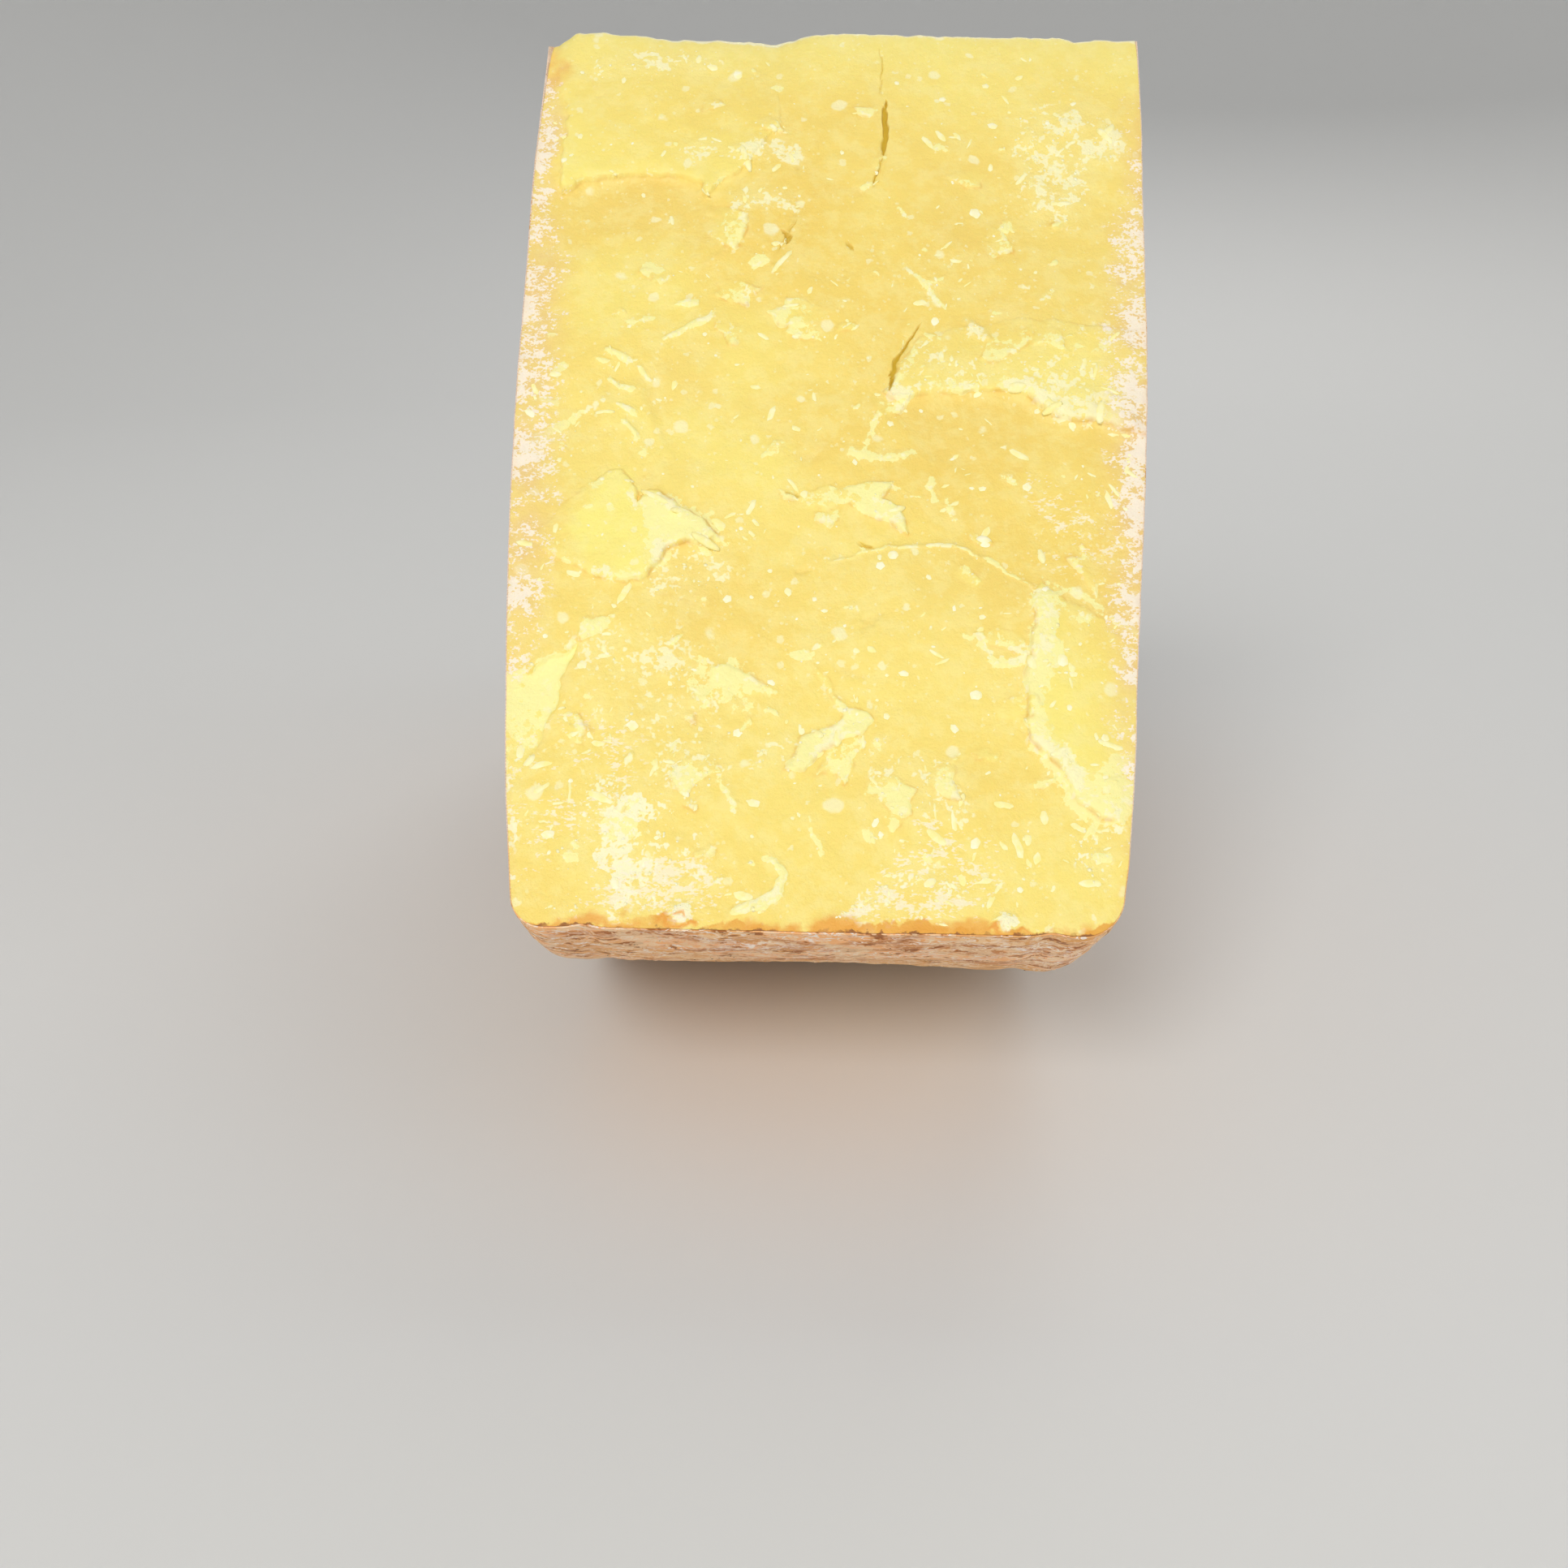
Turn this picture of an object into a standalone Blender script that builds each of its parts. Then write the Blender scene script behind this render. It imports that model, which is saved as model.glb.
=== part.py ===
"""A quarter-wheel chunk of hard mountain cheese, standing on its rounded rim.

The chunk is one sector of a wheel. The wheel's axis runs along X at the top of the chunk, where the
two cut faces meet in a broken crest, and the rim is underneath, with a small flat spot to rest on.
The front cut face looks towards -Y and up. Units are metres, +Z is up, and the origin is the middle
of the flat spot.
"""

import math
from dataclasses import dataclass

import bmesh
import bpy
import numpy as np

MM = 0.001

# Driving dimensions of the wheel and of the sector cut from it.
WHEEL_RADIUS = 220 * MM
SECTOR_ANGLE = math.radians(83)
LEFT_HALF_AT_AXIS = 66.3 * MM  # half thickness of the wheel, from its mid plane, at the axis
LEFT_FALL_TO_RIM = 8.5 * MM  # how much of that is lost by the rim
LEFT_FALL_POWER = 4
RIGHT_HALF_AT_AXIS = 72.0 * MM
RIGHT_FALL_TO_RIM = 16.0 * MM
RIGHT_FALL_POWER = 2
LEFT_EDGE_RADIUS = 5.5 * MM  # where a flat face of the wheel turns into the rim
RIGHT_EDGE_RADIUS = 7.5 * MM
REST_SINK = 0.5 * MM  # the rim is pressed flat by this much where it stands
REST_CALM = math.radians(9)  # the rim is even over this angle to each side of that spot

# The wheel's skin: two shallow grooves left by the mould band, and a gentle unevenness.
GROOVE_INSET = 13 * MM
GROOVE_HALF_WIDTH = 2.5 * MM
GROOVE_DEPTH = 0.6 * MM
SKIN_WAVE = 0.8 * MM
SKIN_WAVE_CELL = 55 * MM
SKIN_SEED = 5
SMOOTH_WITHIN = math.radians(38)  # a fold sharper than this stays a crisp edge

# The broken surface of a cut face, between its named facets.
SCOOP_ROWS = 7
SCOOP_COLUMNS = 5
SCOOP_STRAY = 0.4  # how far a scoop's middle may lie from its cell's, as a share of the cell
SCOOP_CURVE_RADIUS = 420 * MM
SCOOP_STEP = 0.3 * MM  # the most that one scoop lies above another
CUT_WAVE = 0.9 * MM
CUT_WAVE_CELL = 48 * MM
EDGE_RAGGEDNESS = 1.2 * MM
EDGE_RAGGED_CELL = 7 * MM
EDGE_SOFTNESS = 1.1 * MM  # half the width over which a facet's step rises
CREST_CALM = 16 * MM  # the relief grows to its full height over this distance from the crest
RELIEF_REACH = 0.2  # share of the half sector that moves with a cut face's relief
RAMP_END = 1.15  # a facet's ramp runs on past its end by this factor
FRONT_SEED = 20

# The cut face at the back has facets spread by a seeded rule, from these ranges.
BACK_SEED = 30
BACK_FACETS = 10
BACK_FACET_CORNERS = 9
BACK_FACET_REACH = (11, 25)
BACK_FACET_LIFT = (1.1, 2.4)
BACK_FACET_STRETCH = 1.35  # its width over its height
BACK_HALF_WIDTH = 46
BACK_TOP = 24
BACK_HEIGHT = 175

# The mesh: cells across the thickness, across the sector and along the radius, then the final count.
CELLS = (60, 44, 98)
TRIANGLES = 9600
AT_THE_SIDE = 0.999  # share of the cube's half width past which a place is on that side of it


@dataclass(frozen=True)
class Facet:
    """A tilted plate or hollow of a cut face, in millimetres: x across, and the distance from the axis.

    It lies level with the face at the start of its ramp and reaches its lift at the end of it. The
    lift is above the face where it is positive.
    """

    outline: tuple
    ramp: tuple
    lift: float


# The crest's distance from the wheel's axis, in millimetres, from the left flat face to the right.
CREST = ((-68, 9), (-64, 6.5), (-60, 3.4), (-54, 3.2), (-40, 5), (-20, 6), (-12, 6.6), (-5, 3.6),
         (2, 2.4), (30, 3.2), (54, 2.8), (59, 4), (64, 3), (72, 3.4))

FRONT_FACETS = (
    # The plate at the upper left, which ends in a curved lower edge.
    Facet(((-64, 14), (-61, 25), (-60, 38), (-61, 49), (-55, 46), (-48, 44), (-38, 44), (-31, 45),
           (-27, 50), (-20, 44), (-10, 30), (-15, 12), (-40, 8)),
          ((-35, 14), (-40, 46)), 2.2),
    # The smooth hollow under that edge.
    Facet(((-66, 51), (-58, 47), (-38, 44), (-28, 48), (-22, 56), (-28, 66), (-45, 74), (-62, 68)),
          ((-45, 74), (-42, 46)), -1.3),
    # The long shelf on the right, and the hollow below it.
    Facet(((12, 101), (15, 104), (22, 102), (40, 102), (46, 104), (51, 108), (60, 108), (66, 110),
           (74, 113), (74, 85), (40, 82), (20, 88)),
          ((35, 84), (38, 103)), 2.0),
    Facet(((12, 102), (22, 103), (40, 103), (51, 109), (60, 109), (74, 114), (74, 128), (50, 127),
           (20, 118)),
          ((45, 127), (42, 104)), -0.9),
    # The shoulder on the left, below the middle of the upper part.
    Facet(((-68, 113), (-60, 111), (-54, 107), (-49, 103), (-47, 112), (-45, 119), (-55, 124),
           (-68, 122)),
          ((-50, 124), (-56, 108)), -1.1),
    # The bright flake that lifts towards the middle.
    Facet(((-49, 121), (-44, 122), (-36, 130), (-24, 135), (-23, 139), (-33, 139), (-38, 147),
           (-44, 149), (-57, 143), (-60, 137), (-54, 127)),
          ((-60, 132), (-34, 140)), 2.6),
    # The fresh break at the lower left edge.
    Facet(((-68, 169), (-60, 165), (-55, 163), (-49, 159), (-50, 166), (-54, 176), (-58, 186),
           (-63, 197), (-68, 198)),
          ((-62, 197), (-54, 164)), -1.9),
    # The broad flake at the lower right.
    Facet(((44, 146), (50, 149), (56, 150), (61, 156), (68, 160), (66, 186), (57, 196), (50, 189),
           (41, 178), (40, 170), (43, 157), (42, 151)),
          ((68, 165), (42, 175)), 1.9),
    # The small crest in the middle, the knuckle below it and the low dome to their right.
    Facet(((-9, 125), (-2, 126), (4, 128), (9, 131), (12, 137), (9, 139), (3, 134), (-7, 130)),
          ((-10, 126), (10, 135)), 1.7),
    Facet(((-6, 162), (0, 166), (9, 174), (9, 179), (-8, 189), (-10, 185), (1, 177), (-1, 171)),
          ((-7, 163), (5, 181)), 1.6),
    Facet(((-2, 150), (6, 141), (20, 138), (35, 141), (44, 147), (46, 160), (36, 174), (15, 176),
           (0, 166)),
          ((20, 176), (22, 139)), 0.7),
    # The shallow hollow left of the middle.
    Facet(((-46, 100), (-40, 97), (-37, 110), (-35, 118), (-30, 124), (-15, 118), (-10, 100),
           (-25, 90)),
          ((-12, 105), (-38, 112)), -0.7),
)


def lattice_noise(points, cell, seed):
    """Smooth noise from -1 to 1 with one random value every cell, for points as rows of x, y, z."""
    place = points / cell
    corner = np.floor(place).astype(np.int64)
    part = place - corner
    part = part * part * (3 - 2 * part)
    total = np.zeros(len(points))
    for offset in np.ndindex(2, 2, 2):
        at = corner + offset
        mixed = (at[:, 0] * 73856093) ^ (at[:, 1] * 19349663) ^ (at[:, 2] * 83492791) ^ (seed * 668265263)
        mixed = ((mixed ^ (mixed >> 13)) * 1274126177) & 0x7FFFFFFF
        mixed = ((mixed ^ (mixed >> 15)) * 668265263) & 0x7FFFFFFF
        weight = np.prod(np.where(offset, part, 1 - part), axis=1)
        total += weight * (mixed / 0x3FFFFFFF - 1)
    return total


def smooth_step(value):
    """0 below 0, 1 above 1, and a smooth rise between."""
    value = np.clip(value, 0, 1)
    return value * value * (3 - 2 * value)


def depth_inside(place, outline):
    """How far each place lies inside a closed outline; it is negative outside."""
    nearest = np.full(len(place), np.inf)
    inside = np.zeros(len(place), bool)
    for start, end in zip(outline, np.roll(outline, -1, axis=0)):
        along = end - start
        share = np.clip(((place - start) @ along) / (along @ along), 0, 1)
        nearest = np.minimum(nearest, np.linalg.norm(place - start - share[:, None] * along, axis=1))
        crosses = (place[:, 1] < start[1]) != (place[:, 1] < end[1])
        rise = (place[:, 1] - start[1]) / (along[1] if along[1] else np.inf)
        inside ^= crosses & (place[:, 0] < start[0] + rise * along[0])
    return np.where(inside, nearest, -nearest)


def facet_height(place, facet):
    """The height that one facet adds to its cut face at each place."""
    start, end = np.array(facet.ramp) * MM
    along = end - start
    ramp = np.clip(((place - start) @ along) / (along @ along), 0, RAMP_END)
    depth = depth_inside(place, np.array(facet.outline) * MM)
    return facet.lift * MM * ramp * smooth_step(0.5 + depth / (2 * EDGE_SOFTNESS))


def scoop_height(place, seed):
    """Shallow bowls side by side, which meet in low ridges, as hard cheese breaks."""
    random = np.random.default_rng(seed)
    lowest = np.full(len(place), np.inf)
    width = LEFT_HALF_AT_AXIS + RIGHT_HALF_AT_AXIS
    for row, column in np.ndindex(SCOOP_ROWS, SCOOP_COLUMNS):
        jitter = random.uniform(-SCOOP_STRAY, SCOOP_STRAY, 2)
        centre = np.array([
            -LEFT_HALF_AT_AXIS + (column + 0.5 + jitter[0]) * width / SCOOP_COLUMNS,
            (row + 0.5 + jitter[1]) * WHEEL_RADIUS / SCOOP_ROWS,
        ])
        bowl = ((place - centre) ** 2).sum(1) / (2 * SCOOP_CURVE_RADIUS)
        lowest = np.minimum(lowest, bowl + random.uniform(0, SCOOP_STEP))
    return lowest


def back_facets():
    """The facets of the cut face at the back, from the top down, as rough ovals with a tilt each."""
    random = np.random.default_rng(BACK_SEED)
    even_turns = np.linspace(0, 2 * math.pi, BACK_FACET_CORNERS, endpoint=False)
    facets = []
    for number in range(BACK_FACETS):
        down = BACK_TOP + BACK_HEIGHT * (number + random.uniform(0.2, 0.8)) / BACK_FACETS
        centre = np.array([random.uniform(-BACK_HALF_WIDTH, BACK_HALF_WIDTH), down])
        reach = random.uniform(*BACK_FACET_REACH)
        turns = even_turns + random.uniform(-0.25, 0.25, BACK_FACET_CORNERS)
        spread = reach * random.uniform(0.7, 1.2, BACK_FACET_CORNERS)
        corners = np.stack([BACK_FACET_STRETCH * spread * np.cos(turns), spread * np.sin(turns)], axis=1)
        heading = random.uniform(0, 2 * math.pi)
        step = 0.9 * reach * np.array([math.cos(heading), math.sin(heading)])
        lift = random.choice([-1, 1]) * random.uniform(*BACK_FACET_LIFT)
        facets.append(Facet(tuple(centre + corners), (centre - step, centre + step), lift))
    return tuple(facets)


def cut_relief(x, radius, facets, seed):
    """How far a cut face stands out at each place, from its facets, scoops and waves."""
    place = np.stack([x, radius], axis=1)
    flat = np.stack([x, radius, np.zeros(len(x))], axis=1)
    shift = [lattice_noise(flat, EDGE_RAGGED_CELL, seed + k) for k in (1, 2)]
    ragged = place + EDGE_RAGGEDNESS * np.stack(shift, axis=1)
    height = sum(facet_height(ragged, facet) for facet in facets)
    height = height + scoop_height(place, seed) + CUT_WAVE * lattice_noise(flat, CUT_WAVE_CELL, seed + 3)
    return height * smooth_step(radius / CREST_CALM)


def half_thickness(radius, side):
    """The distance from the wheel's mid plane to its left or right flat face, domed towards the axis."""
    share = radius / WHEEL_RADIUS
    left = LEFT_HALF_AT_AXIS - LEFT_FALL_TO_RIM * share**LEFT_FALL_POWER
    right = RIGHT_HALF_AT_AXIS - RIGHT_FALL_TO_RIM * share**RIGHT_FALL_POWER
    return np.where(side < 0, left, right)


def round_edge(x, radius):
    """Moves places near the corner of the wheel's section onto its rounded edge."""
    half = half_thickness(radius, x)
    edge = np.where(x < 0, LEFT_EDGE_RADIUS, RIGHT_EDGE_RADIUS)
    across = np.maximum(np.abs(x) - (half - edge), 0)
    outward = np.maximum(radius - (WHEEL_RADIUS - edge), 0)
    scale = np.maximum(across, outward) / np.maximum(np.hypot(across, outward), 1e-9)
    in_corner = (across > 0) & (outward > 0)
    new_x = np.sign(x) * (half - edge + across * scale)
    new_radius = WHEEL_RADIUS - edge + outward * scale
    return np.where(in_corner, new_x, x), np.where(in_corner, new_radius, radius)


def block_grid(cells):
    """A two-unit cube whose faces are cut into a regular grid, as a mesh held by bmesh."""
    grid = bmesh.new()
    bmesh.ops.create_cube(grid, size=2)
    for axis, count in enumerate(cells):
        along = [edge for edge in grid.edges
                 if abs((edge.verts[0].co - edge.verts[1].co)[axis]) > 1.9]
        bmesh.ops.subdivide_edges(grid, edges=along, cuts=count - 1, use_grid_fill=True)
    return grid


def broken_crest(across, outer):
    """The distance from the wheel's axis, where 0 is the broken crest and 1 the rim."""
    crest = np.array(CREST) * MM
    x = across * half_thickness(outer * WHEEL_RADIUS, across)
    tip = np.interp(x, crest[:, 0], crest[:, 1])
    return tip + outer * (WHEEL_RADIUS - tip)


def uneven_skin(x, radius, angle, on_flank, on_rim):
    """Gives the wheel's skin its grooves and waves. The rim stays even where the chunk stands."""
    half = half_thickness(radius, x)
    on_skin = np.stack([x, radius * np.sin(angle), radius * np.cos(angle)], axis=1)
    wave = SKIN_WAVE * lattice_noise(on_skin, SKIN_WAVE_CELL, SKIN_SEED)
    from_groove = (half - np.abs(x) - GROOVE_INSET) / GROOVE_HALF_WIDTH
    groove = GROOVE_DEPTH * np.exp(-from_groove**2)
    rim_wave = wave * smooth_step(np.abs(angle) / REST_CALM - 1) - groove
    flank_wave = wave * smooth_step((WHEEL_RADIUS - radius) / RIGHT_EDGE_RADIUS - 1)
    new_x = x + np.where(on_flank & ~on_rim, np.sign(x) * flank_wave, 0)
    return new_x, radius + np.where(on_rim, rim_wave, 0)


def shape_chunk(cube):
    """Takes places in the cube to the chunk: x goes across the wheel, y round it, z along its radius."""
    across, around, inward = cube.T
    outer = 0.5 - 0.5 * inward  # 0 at the crest, 1 at the rim
    radius = broken_crest(across, outer)
    x, radius = round_edge(across * half_thickness(radius, across), radius)
    angle = around * SECTOR_ANGLE / 2
    on_flank = np.abs(across) > AT_THE_SIDE
    on_rim = outer > AT_THE_SIDE
    x, radius = uneven_skin(x, radius, angle, on_flank, on_rim)
    y = radius * np.sin(angle)
    z = WHEEL_RADIUS - REST_SINK - radius * np.cos(angle)
    for side, facets, seed in ((-1, FRONT_FACETS, FRONT_SEED), (1, back_facets(), BACK_SEED)):
        share = smooth_step((side * around - 1 + RELIEF_REACH) / RELIEF_REACH)
        near = share > 0
        lift = np.zeros(len(x))
        lift[near] = share[near] * cut_relief(x[near], radius[near], facets, seed)
        y += side * lift * math.cos(SECTOR_ANGLE / 2)
        z += lift * math.sin(SECTOR_ANGLE / 2)
    return np.stack([x, y, np.maximum(z, 0)], axis=1)


def paste_material():
    """The pale yellow inside of the cheese."""
    material = bpy.data.materials.new("cheese_paste")
    material.use_nodes = True
    surface = material.node_tree.nodes["Principled BSDF"]
    surface.inputs["Base Color"].default_value = (0.94, 0.76, 0.28, 1)
    surface.inputs["Roughness"].default_value = 0.55
    surface.inputs["Metallic"].default_value = 0
    return material


def make_chunk(collection):
    """The whole chunk as one object: a gridded cube, shaped, and thinned where it is smooth."""
    grid = block_grid(CELLS)
    mesh = bpy.data.meshes.new("cheese_chunk")
    grid.to_mesh(mesh)
    grid.free()
    places = np.empty(len(mesh.vertices) * 3, np.float32)
    mesh.vertices.foreach_get("co", places)
    shaped = shape_chunk(places.reshape(-1, 3).astype(float))
    mesh.vertices.foreach_set("co", shaped.astype(np.float32).ravel())
    mesh.update()
    mesh.shade_smooth()
    mesh.set_sharp_from_angle(angle=SMOOTH_WITHIN)
    mesh.materials.append(paste_material())
    chunk = bpy.data.objects.new("cheese_chunk", mesh)
    collection.objects.link(chunk)
    triangulate = chunk.modifiers.new("triangles", "TRIANGULATE")
    triangulate.quad_method = "SHORTEST_DIAGONAL"
    thin = chunk.modifiers.new("thin_smooth_areas", "DECIMATE")
    thin.ratio = TRIANGLES / (2 * len(mesh.polygons))
    thin.use_collapse_triangulate = True
    return chunk


def main():
    """Clears the scene and builds the chunk in its own collection."""
    for old in list(bpy.data.objects):
        bpy.data.objects.remove(old, do_unlink=True)
    collection = bpy.data.collections.new("cheese_chunk")
    bpy.context.scene.collection.children.link(collection)
    make_chunk(collection)


main()
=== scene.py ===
"""The looks of a quarter-wheel chunk of hard mountain cheese, standing on its rounded rim.

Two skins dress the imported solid. The paste is the pale inside that the two cut faces lay bare, and
the rind covers the rim and the wheel's two flat faces. Crystals, shavings, crumbs and grains lie on
them. Units are metres and +Z is up. x runs across the wheel's thickness. A place on a cut face is
given in millimetres as x and the distance down from the wheel's axis.
"""

import logging
import math
from dataclasses import dataclass, field
from enum import Enum

import bmesh
import bpy
import numpy as np
from mathutils import Matrix, Vector
from mathutils.geometry import delaunay_2d_cdt


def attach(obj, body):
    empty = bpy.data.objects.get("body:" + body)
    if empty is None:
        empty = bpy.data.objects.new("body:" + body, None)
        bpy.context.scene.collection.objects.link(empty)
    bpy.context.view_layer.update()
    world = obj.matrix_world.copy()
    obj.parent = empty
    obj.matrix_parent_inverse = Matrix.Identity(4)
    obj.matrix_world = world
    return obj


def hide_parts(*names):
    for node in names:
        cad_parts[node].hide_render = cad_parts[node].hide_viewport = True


MM = 0.001
LOG = logging.getLogger("cheese")

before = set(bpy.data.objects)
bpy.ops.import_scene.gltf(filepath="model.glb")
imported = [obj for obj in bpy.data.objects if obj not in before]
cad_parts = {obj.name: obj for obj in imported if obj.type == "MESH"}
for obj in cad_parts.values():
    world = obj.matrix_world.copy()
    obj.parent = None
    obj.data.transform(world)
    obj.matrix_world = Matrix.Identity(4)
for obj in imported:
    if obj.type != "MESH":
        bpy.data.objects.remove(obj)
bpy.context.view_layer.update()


# Numbers over a surface


def smooth_step(value: np.ndarray) -> np.ndarray:
    """A smooth rise from 0 to 1, level outside."""
    value = np.clip(value, 0, 1)
    return value * value * (3 - 2 * value)


def lattice_noise(points: np.ndarray, cell: float, seed: int) -> np.ndarray:
    """Smooth noise with one random value every cell.

    Args:
        points: Rows of coordinates, two or three to a row.
        cell: The noise's cell size, in the points' unit.
        seed: Picks the pattern.

    Returns:
        A value from -1 to 1 for each row.
    """
    if points.shape[1] == 2:
        points = np.column_stack([points, np.zeros(len(points))])
    place = points / cell
    corner = np.floor(place).astype(np.int64)
    part = place - corner
    part = part * part * (3 - 2 * part)
    total = np.zeros(len(points))
    for offset in np.ndindex(2, 2, 2):
        at = corner + offset
        mixed = (at[:, 0] * 73856093) ^ (at[:, 1] * 19349663) ^ (at[:, 2] * 83492791) ^ (seed * 668265263)
        mixed = ((mixed ^ (mixed >> 13)) * 1274126177) & 0x7FFFFFFF
        mixed = ((mixed ^ (mixed >> 15)) * 668265263) & 0x7FFFFFFF
        weight = np.prod(np.where(offset, part, 1 - part), axis=1)
        total += weight * (mixed / 0x3FFFFFFF - 1)
    return total


def distance_in(place: np.ndarray, corners: np.ndarray) -> np.ndarray:
    """How far each place lies inside a closed outline; it is negative outside.

    Args:
        place: Rows of two coordinates.
        corners: The outline's corners in order.

    Returns:
        The signed distance for each row.
    """
    nearest = np.full(len(place), np.inf)
    inside = np.zeros(len(place), bool)
    for start, end in zip(corners, np.roll(corners, -1, axis=0)):
        along = end - start
        share = np.clip(((place - start) @ along) / max(along @ along, 1e-12), 0, 1)
        nearest = np.minimum(nearest, np.linalg.norm(place - start - share[:, None] * along, axis=1))
        crosses = (place[:, 1] < start[1]) != (place[:, 1] < end[1])
        rise = (place[:, 1] - start[1]) / (along[1] if along[1] else np.inf)
        inside ^= crosses & (place[:, 0] < start[0] + rise * along[0])
    return np.where(inside, nearest, -nearest)


def distance_in_band(place: np.ndarray, corners: np.ndarray, half_widths: np.ndarray) -> np.ndarray:
    """How far each place lies inside the band along an open path.

    Args:
        place: Rows of two coordinates.
        corners: The path's corners in order.
        half_widths: Half the band's width at each corner.

    Returns:
        The depth inside the band for each row; it is negative outside.
    """
    depth = np.full(len(place), -np.inf)
    for k in range(len(corners) - 1):
        along = corners[k + 1] - corners[k]
        share = np.clip(((place - corners[k]) @ along) / max(along @ along, 1e-12), 0, 1)
        gap = np.linalg.norm(place - corners[k] - share[:, None] * along, axis=1)
        depth = np.maximum(depth, half_widths[k] + share * (half_widths[k + 1] - half_widths[k]) - gap)
    return depth


# The wheel and its cut faces


@dataclass(frozen=True)
class Wheel:
    """The wheel that the chunk is cut from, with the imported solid's own named sizes."""

    radius: float = 220 * MM
    half_sector: float = math.radians(41.5)
    rest_sink: float = 0.5 * MM
    rest_calm: float = math.radians(9)
    left_half: tuple = (66.3 * MM, 8.5 * MM, 4)  # at the axis, what is lost by the rim, and the power
    right_half: tuple = (72.0 * MM, 16.0 * MM, 2)
    left_edge: float = 5.5 * MM
    right_edge: float = 7.5 * MM
    groove: tuple = (13 * MM, 2.5 * MM, 0.6 * MM)  # inset, half width and depth
    wave: tuple = (0.8 * MM, 55 * MM, 5)  # height, cell and seed
    border_fade: float = 12 * MM
    crest: tuple = ((-68, 9), (-64, 6.5), (-60, 3.4), (-54, 3.2), (-40, 5), (-20, 6), (-12, 6.6),
                    (-5, 3.6), (2, 2.4), (30, 3.2), (54, 2.8), (59, 4), (64, 3), (72, 3.4))
    crest_chips: tuple = ((4.5, 0.30, 71), (1.7, 0.28, 72), (0.8, 0.16, 73))  # cell, height, seed, in mm

    @property
    def axis_height(self) -> float:
        """The height of the wheel's axis over the flat spot."""
        return self.radius - self.rest_sink

    def half_thickness(self, radius: np.ndarray, side: np.ndarray) -> np.ndarray:
        """How far a flat face lies from the mid plane, domed towards the axis.

        Args:
            radius: Distance from the axis.
            side: Negative for the left face.

        Returns:
            The distance for each row.
        """
        share = np.clip(radius / self.radius, 0, 1)
        left, right = (at - fall * share**power for at, fall, power in (self.left_half, self.right_half))
        return np.where(side < 0, left, right)

    def crest_tip(self, x: np.ndarray) -> np.ndarray:
        """How far the broken crest lies from the wheel's axis.

        Args:
            x: Place across the wheel.

        Returns:
            The distance for each place.
        """
        corner = np.array(self.crest) * MM
        tip = np.interp(x, corner[:, 0], corner[:, 1])
        place = np.column_stack([x, np.zeros(len(x))])
        for cell, height, seed in self.crest_chips:
            tip = tip + height * MM * lattice_noise(place, cell * MM, seed)
        return np.maximum(tip, 2.2 * MM)

    def outward(self, across: np.ndarray, x: np.ndarray) -> np.ndarray:
        """The distance from the axis at signed distance `across` down a cut face from the crest."""
        return np.hypot(across, self.crest_tip(x) * (1 - np.abs(across) / self.radius))

    def down_face(self, radius: np.ndarray, x: np.ndarray) -> np.ndarray:
        """The inverse of outward.

        Args:
            radius: Distance from the axis.
            x: Place across the wheel.

        Returns:
            The unsigned distance down a cut face from the crest.
        """
        tip = self.crest_tip(x)
        share = (tip / self.radius) ** 2
        inside = (share * self.radius) ** 2 - (1 + share) * (tip**2 - radius**2)
        return (share * self.radius + np.sqrt(np.maximum(inside, 0))) / (1 + share)

    def section(self, step: float, inset: float = 0.0) -> np.ndarray:
        """The border of a cut face, from the crest's left end round the rim to its right end.

        Args:
            step: The distance between the border's points.
            inset: How far the border is drawn in.

        Returns:
            Rows of x, distance from the axis, and distance down the face from the crest.
        """
        rows = []
        for side, edge in ((-1, self.left_edge), (1, self.right_edge)):
            count = round((self.radius - edge) / step)
            ends = self.half_thickness(np.zeros(1), np.array([side])) * side
            across = np.linspace(0, float(self.down_face(np.array([self.radius - edge]), ends)[0]), count + 1)
            radius = self.outward(across, np.full(count + 1, ends[0]))
            x = side * (self.half_thickness(radius, np.full(count + 1, side)) - inset)
            turn = np.linspace(0, math.pi / 2, max(round(edge * math.pi / 2 / step), 5) + 1)[1:]
            corner_radius = self.radius - edge + (edge - inset) * np.sin(turn)
            half = self.half_thickness(corner_radius, np.full(len(turn), side))
            corner_x = side * (half - edge + (edge - inset) * np.cos(turn))
            part = np.column_stack([np.append(x, corner_x), np.append(radius, corner_radius)])
            rows.append(part if side < 0 else part[::-1])
        gap = rows[1][0, 0] - rows[0][-1, 0]
        bottom = np.linspace(rows[0][-1, 0], rows[1][0, 0], round(gap / step) + 1)[1:-1]
        rows.insert(1, np.column_stack([bottom, np.full(len(bottom), self.radius - inset)]))
        loop = np.concatenate(rows)
        down = self.down_face(loop[:, 1], loop[:, 0])
        down[[0, -1]] = 0
        return np.column_stack([loop, down])

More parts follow.
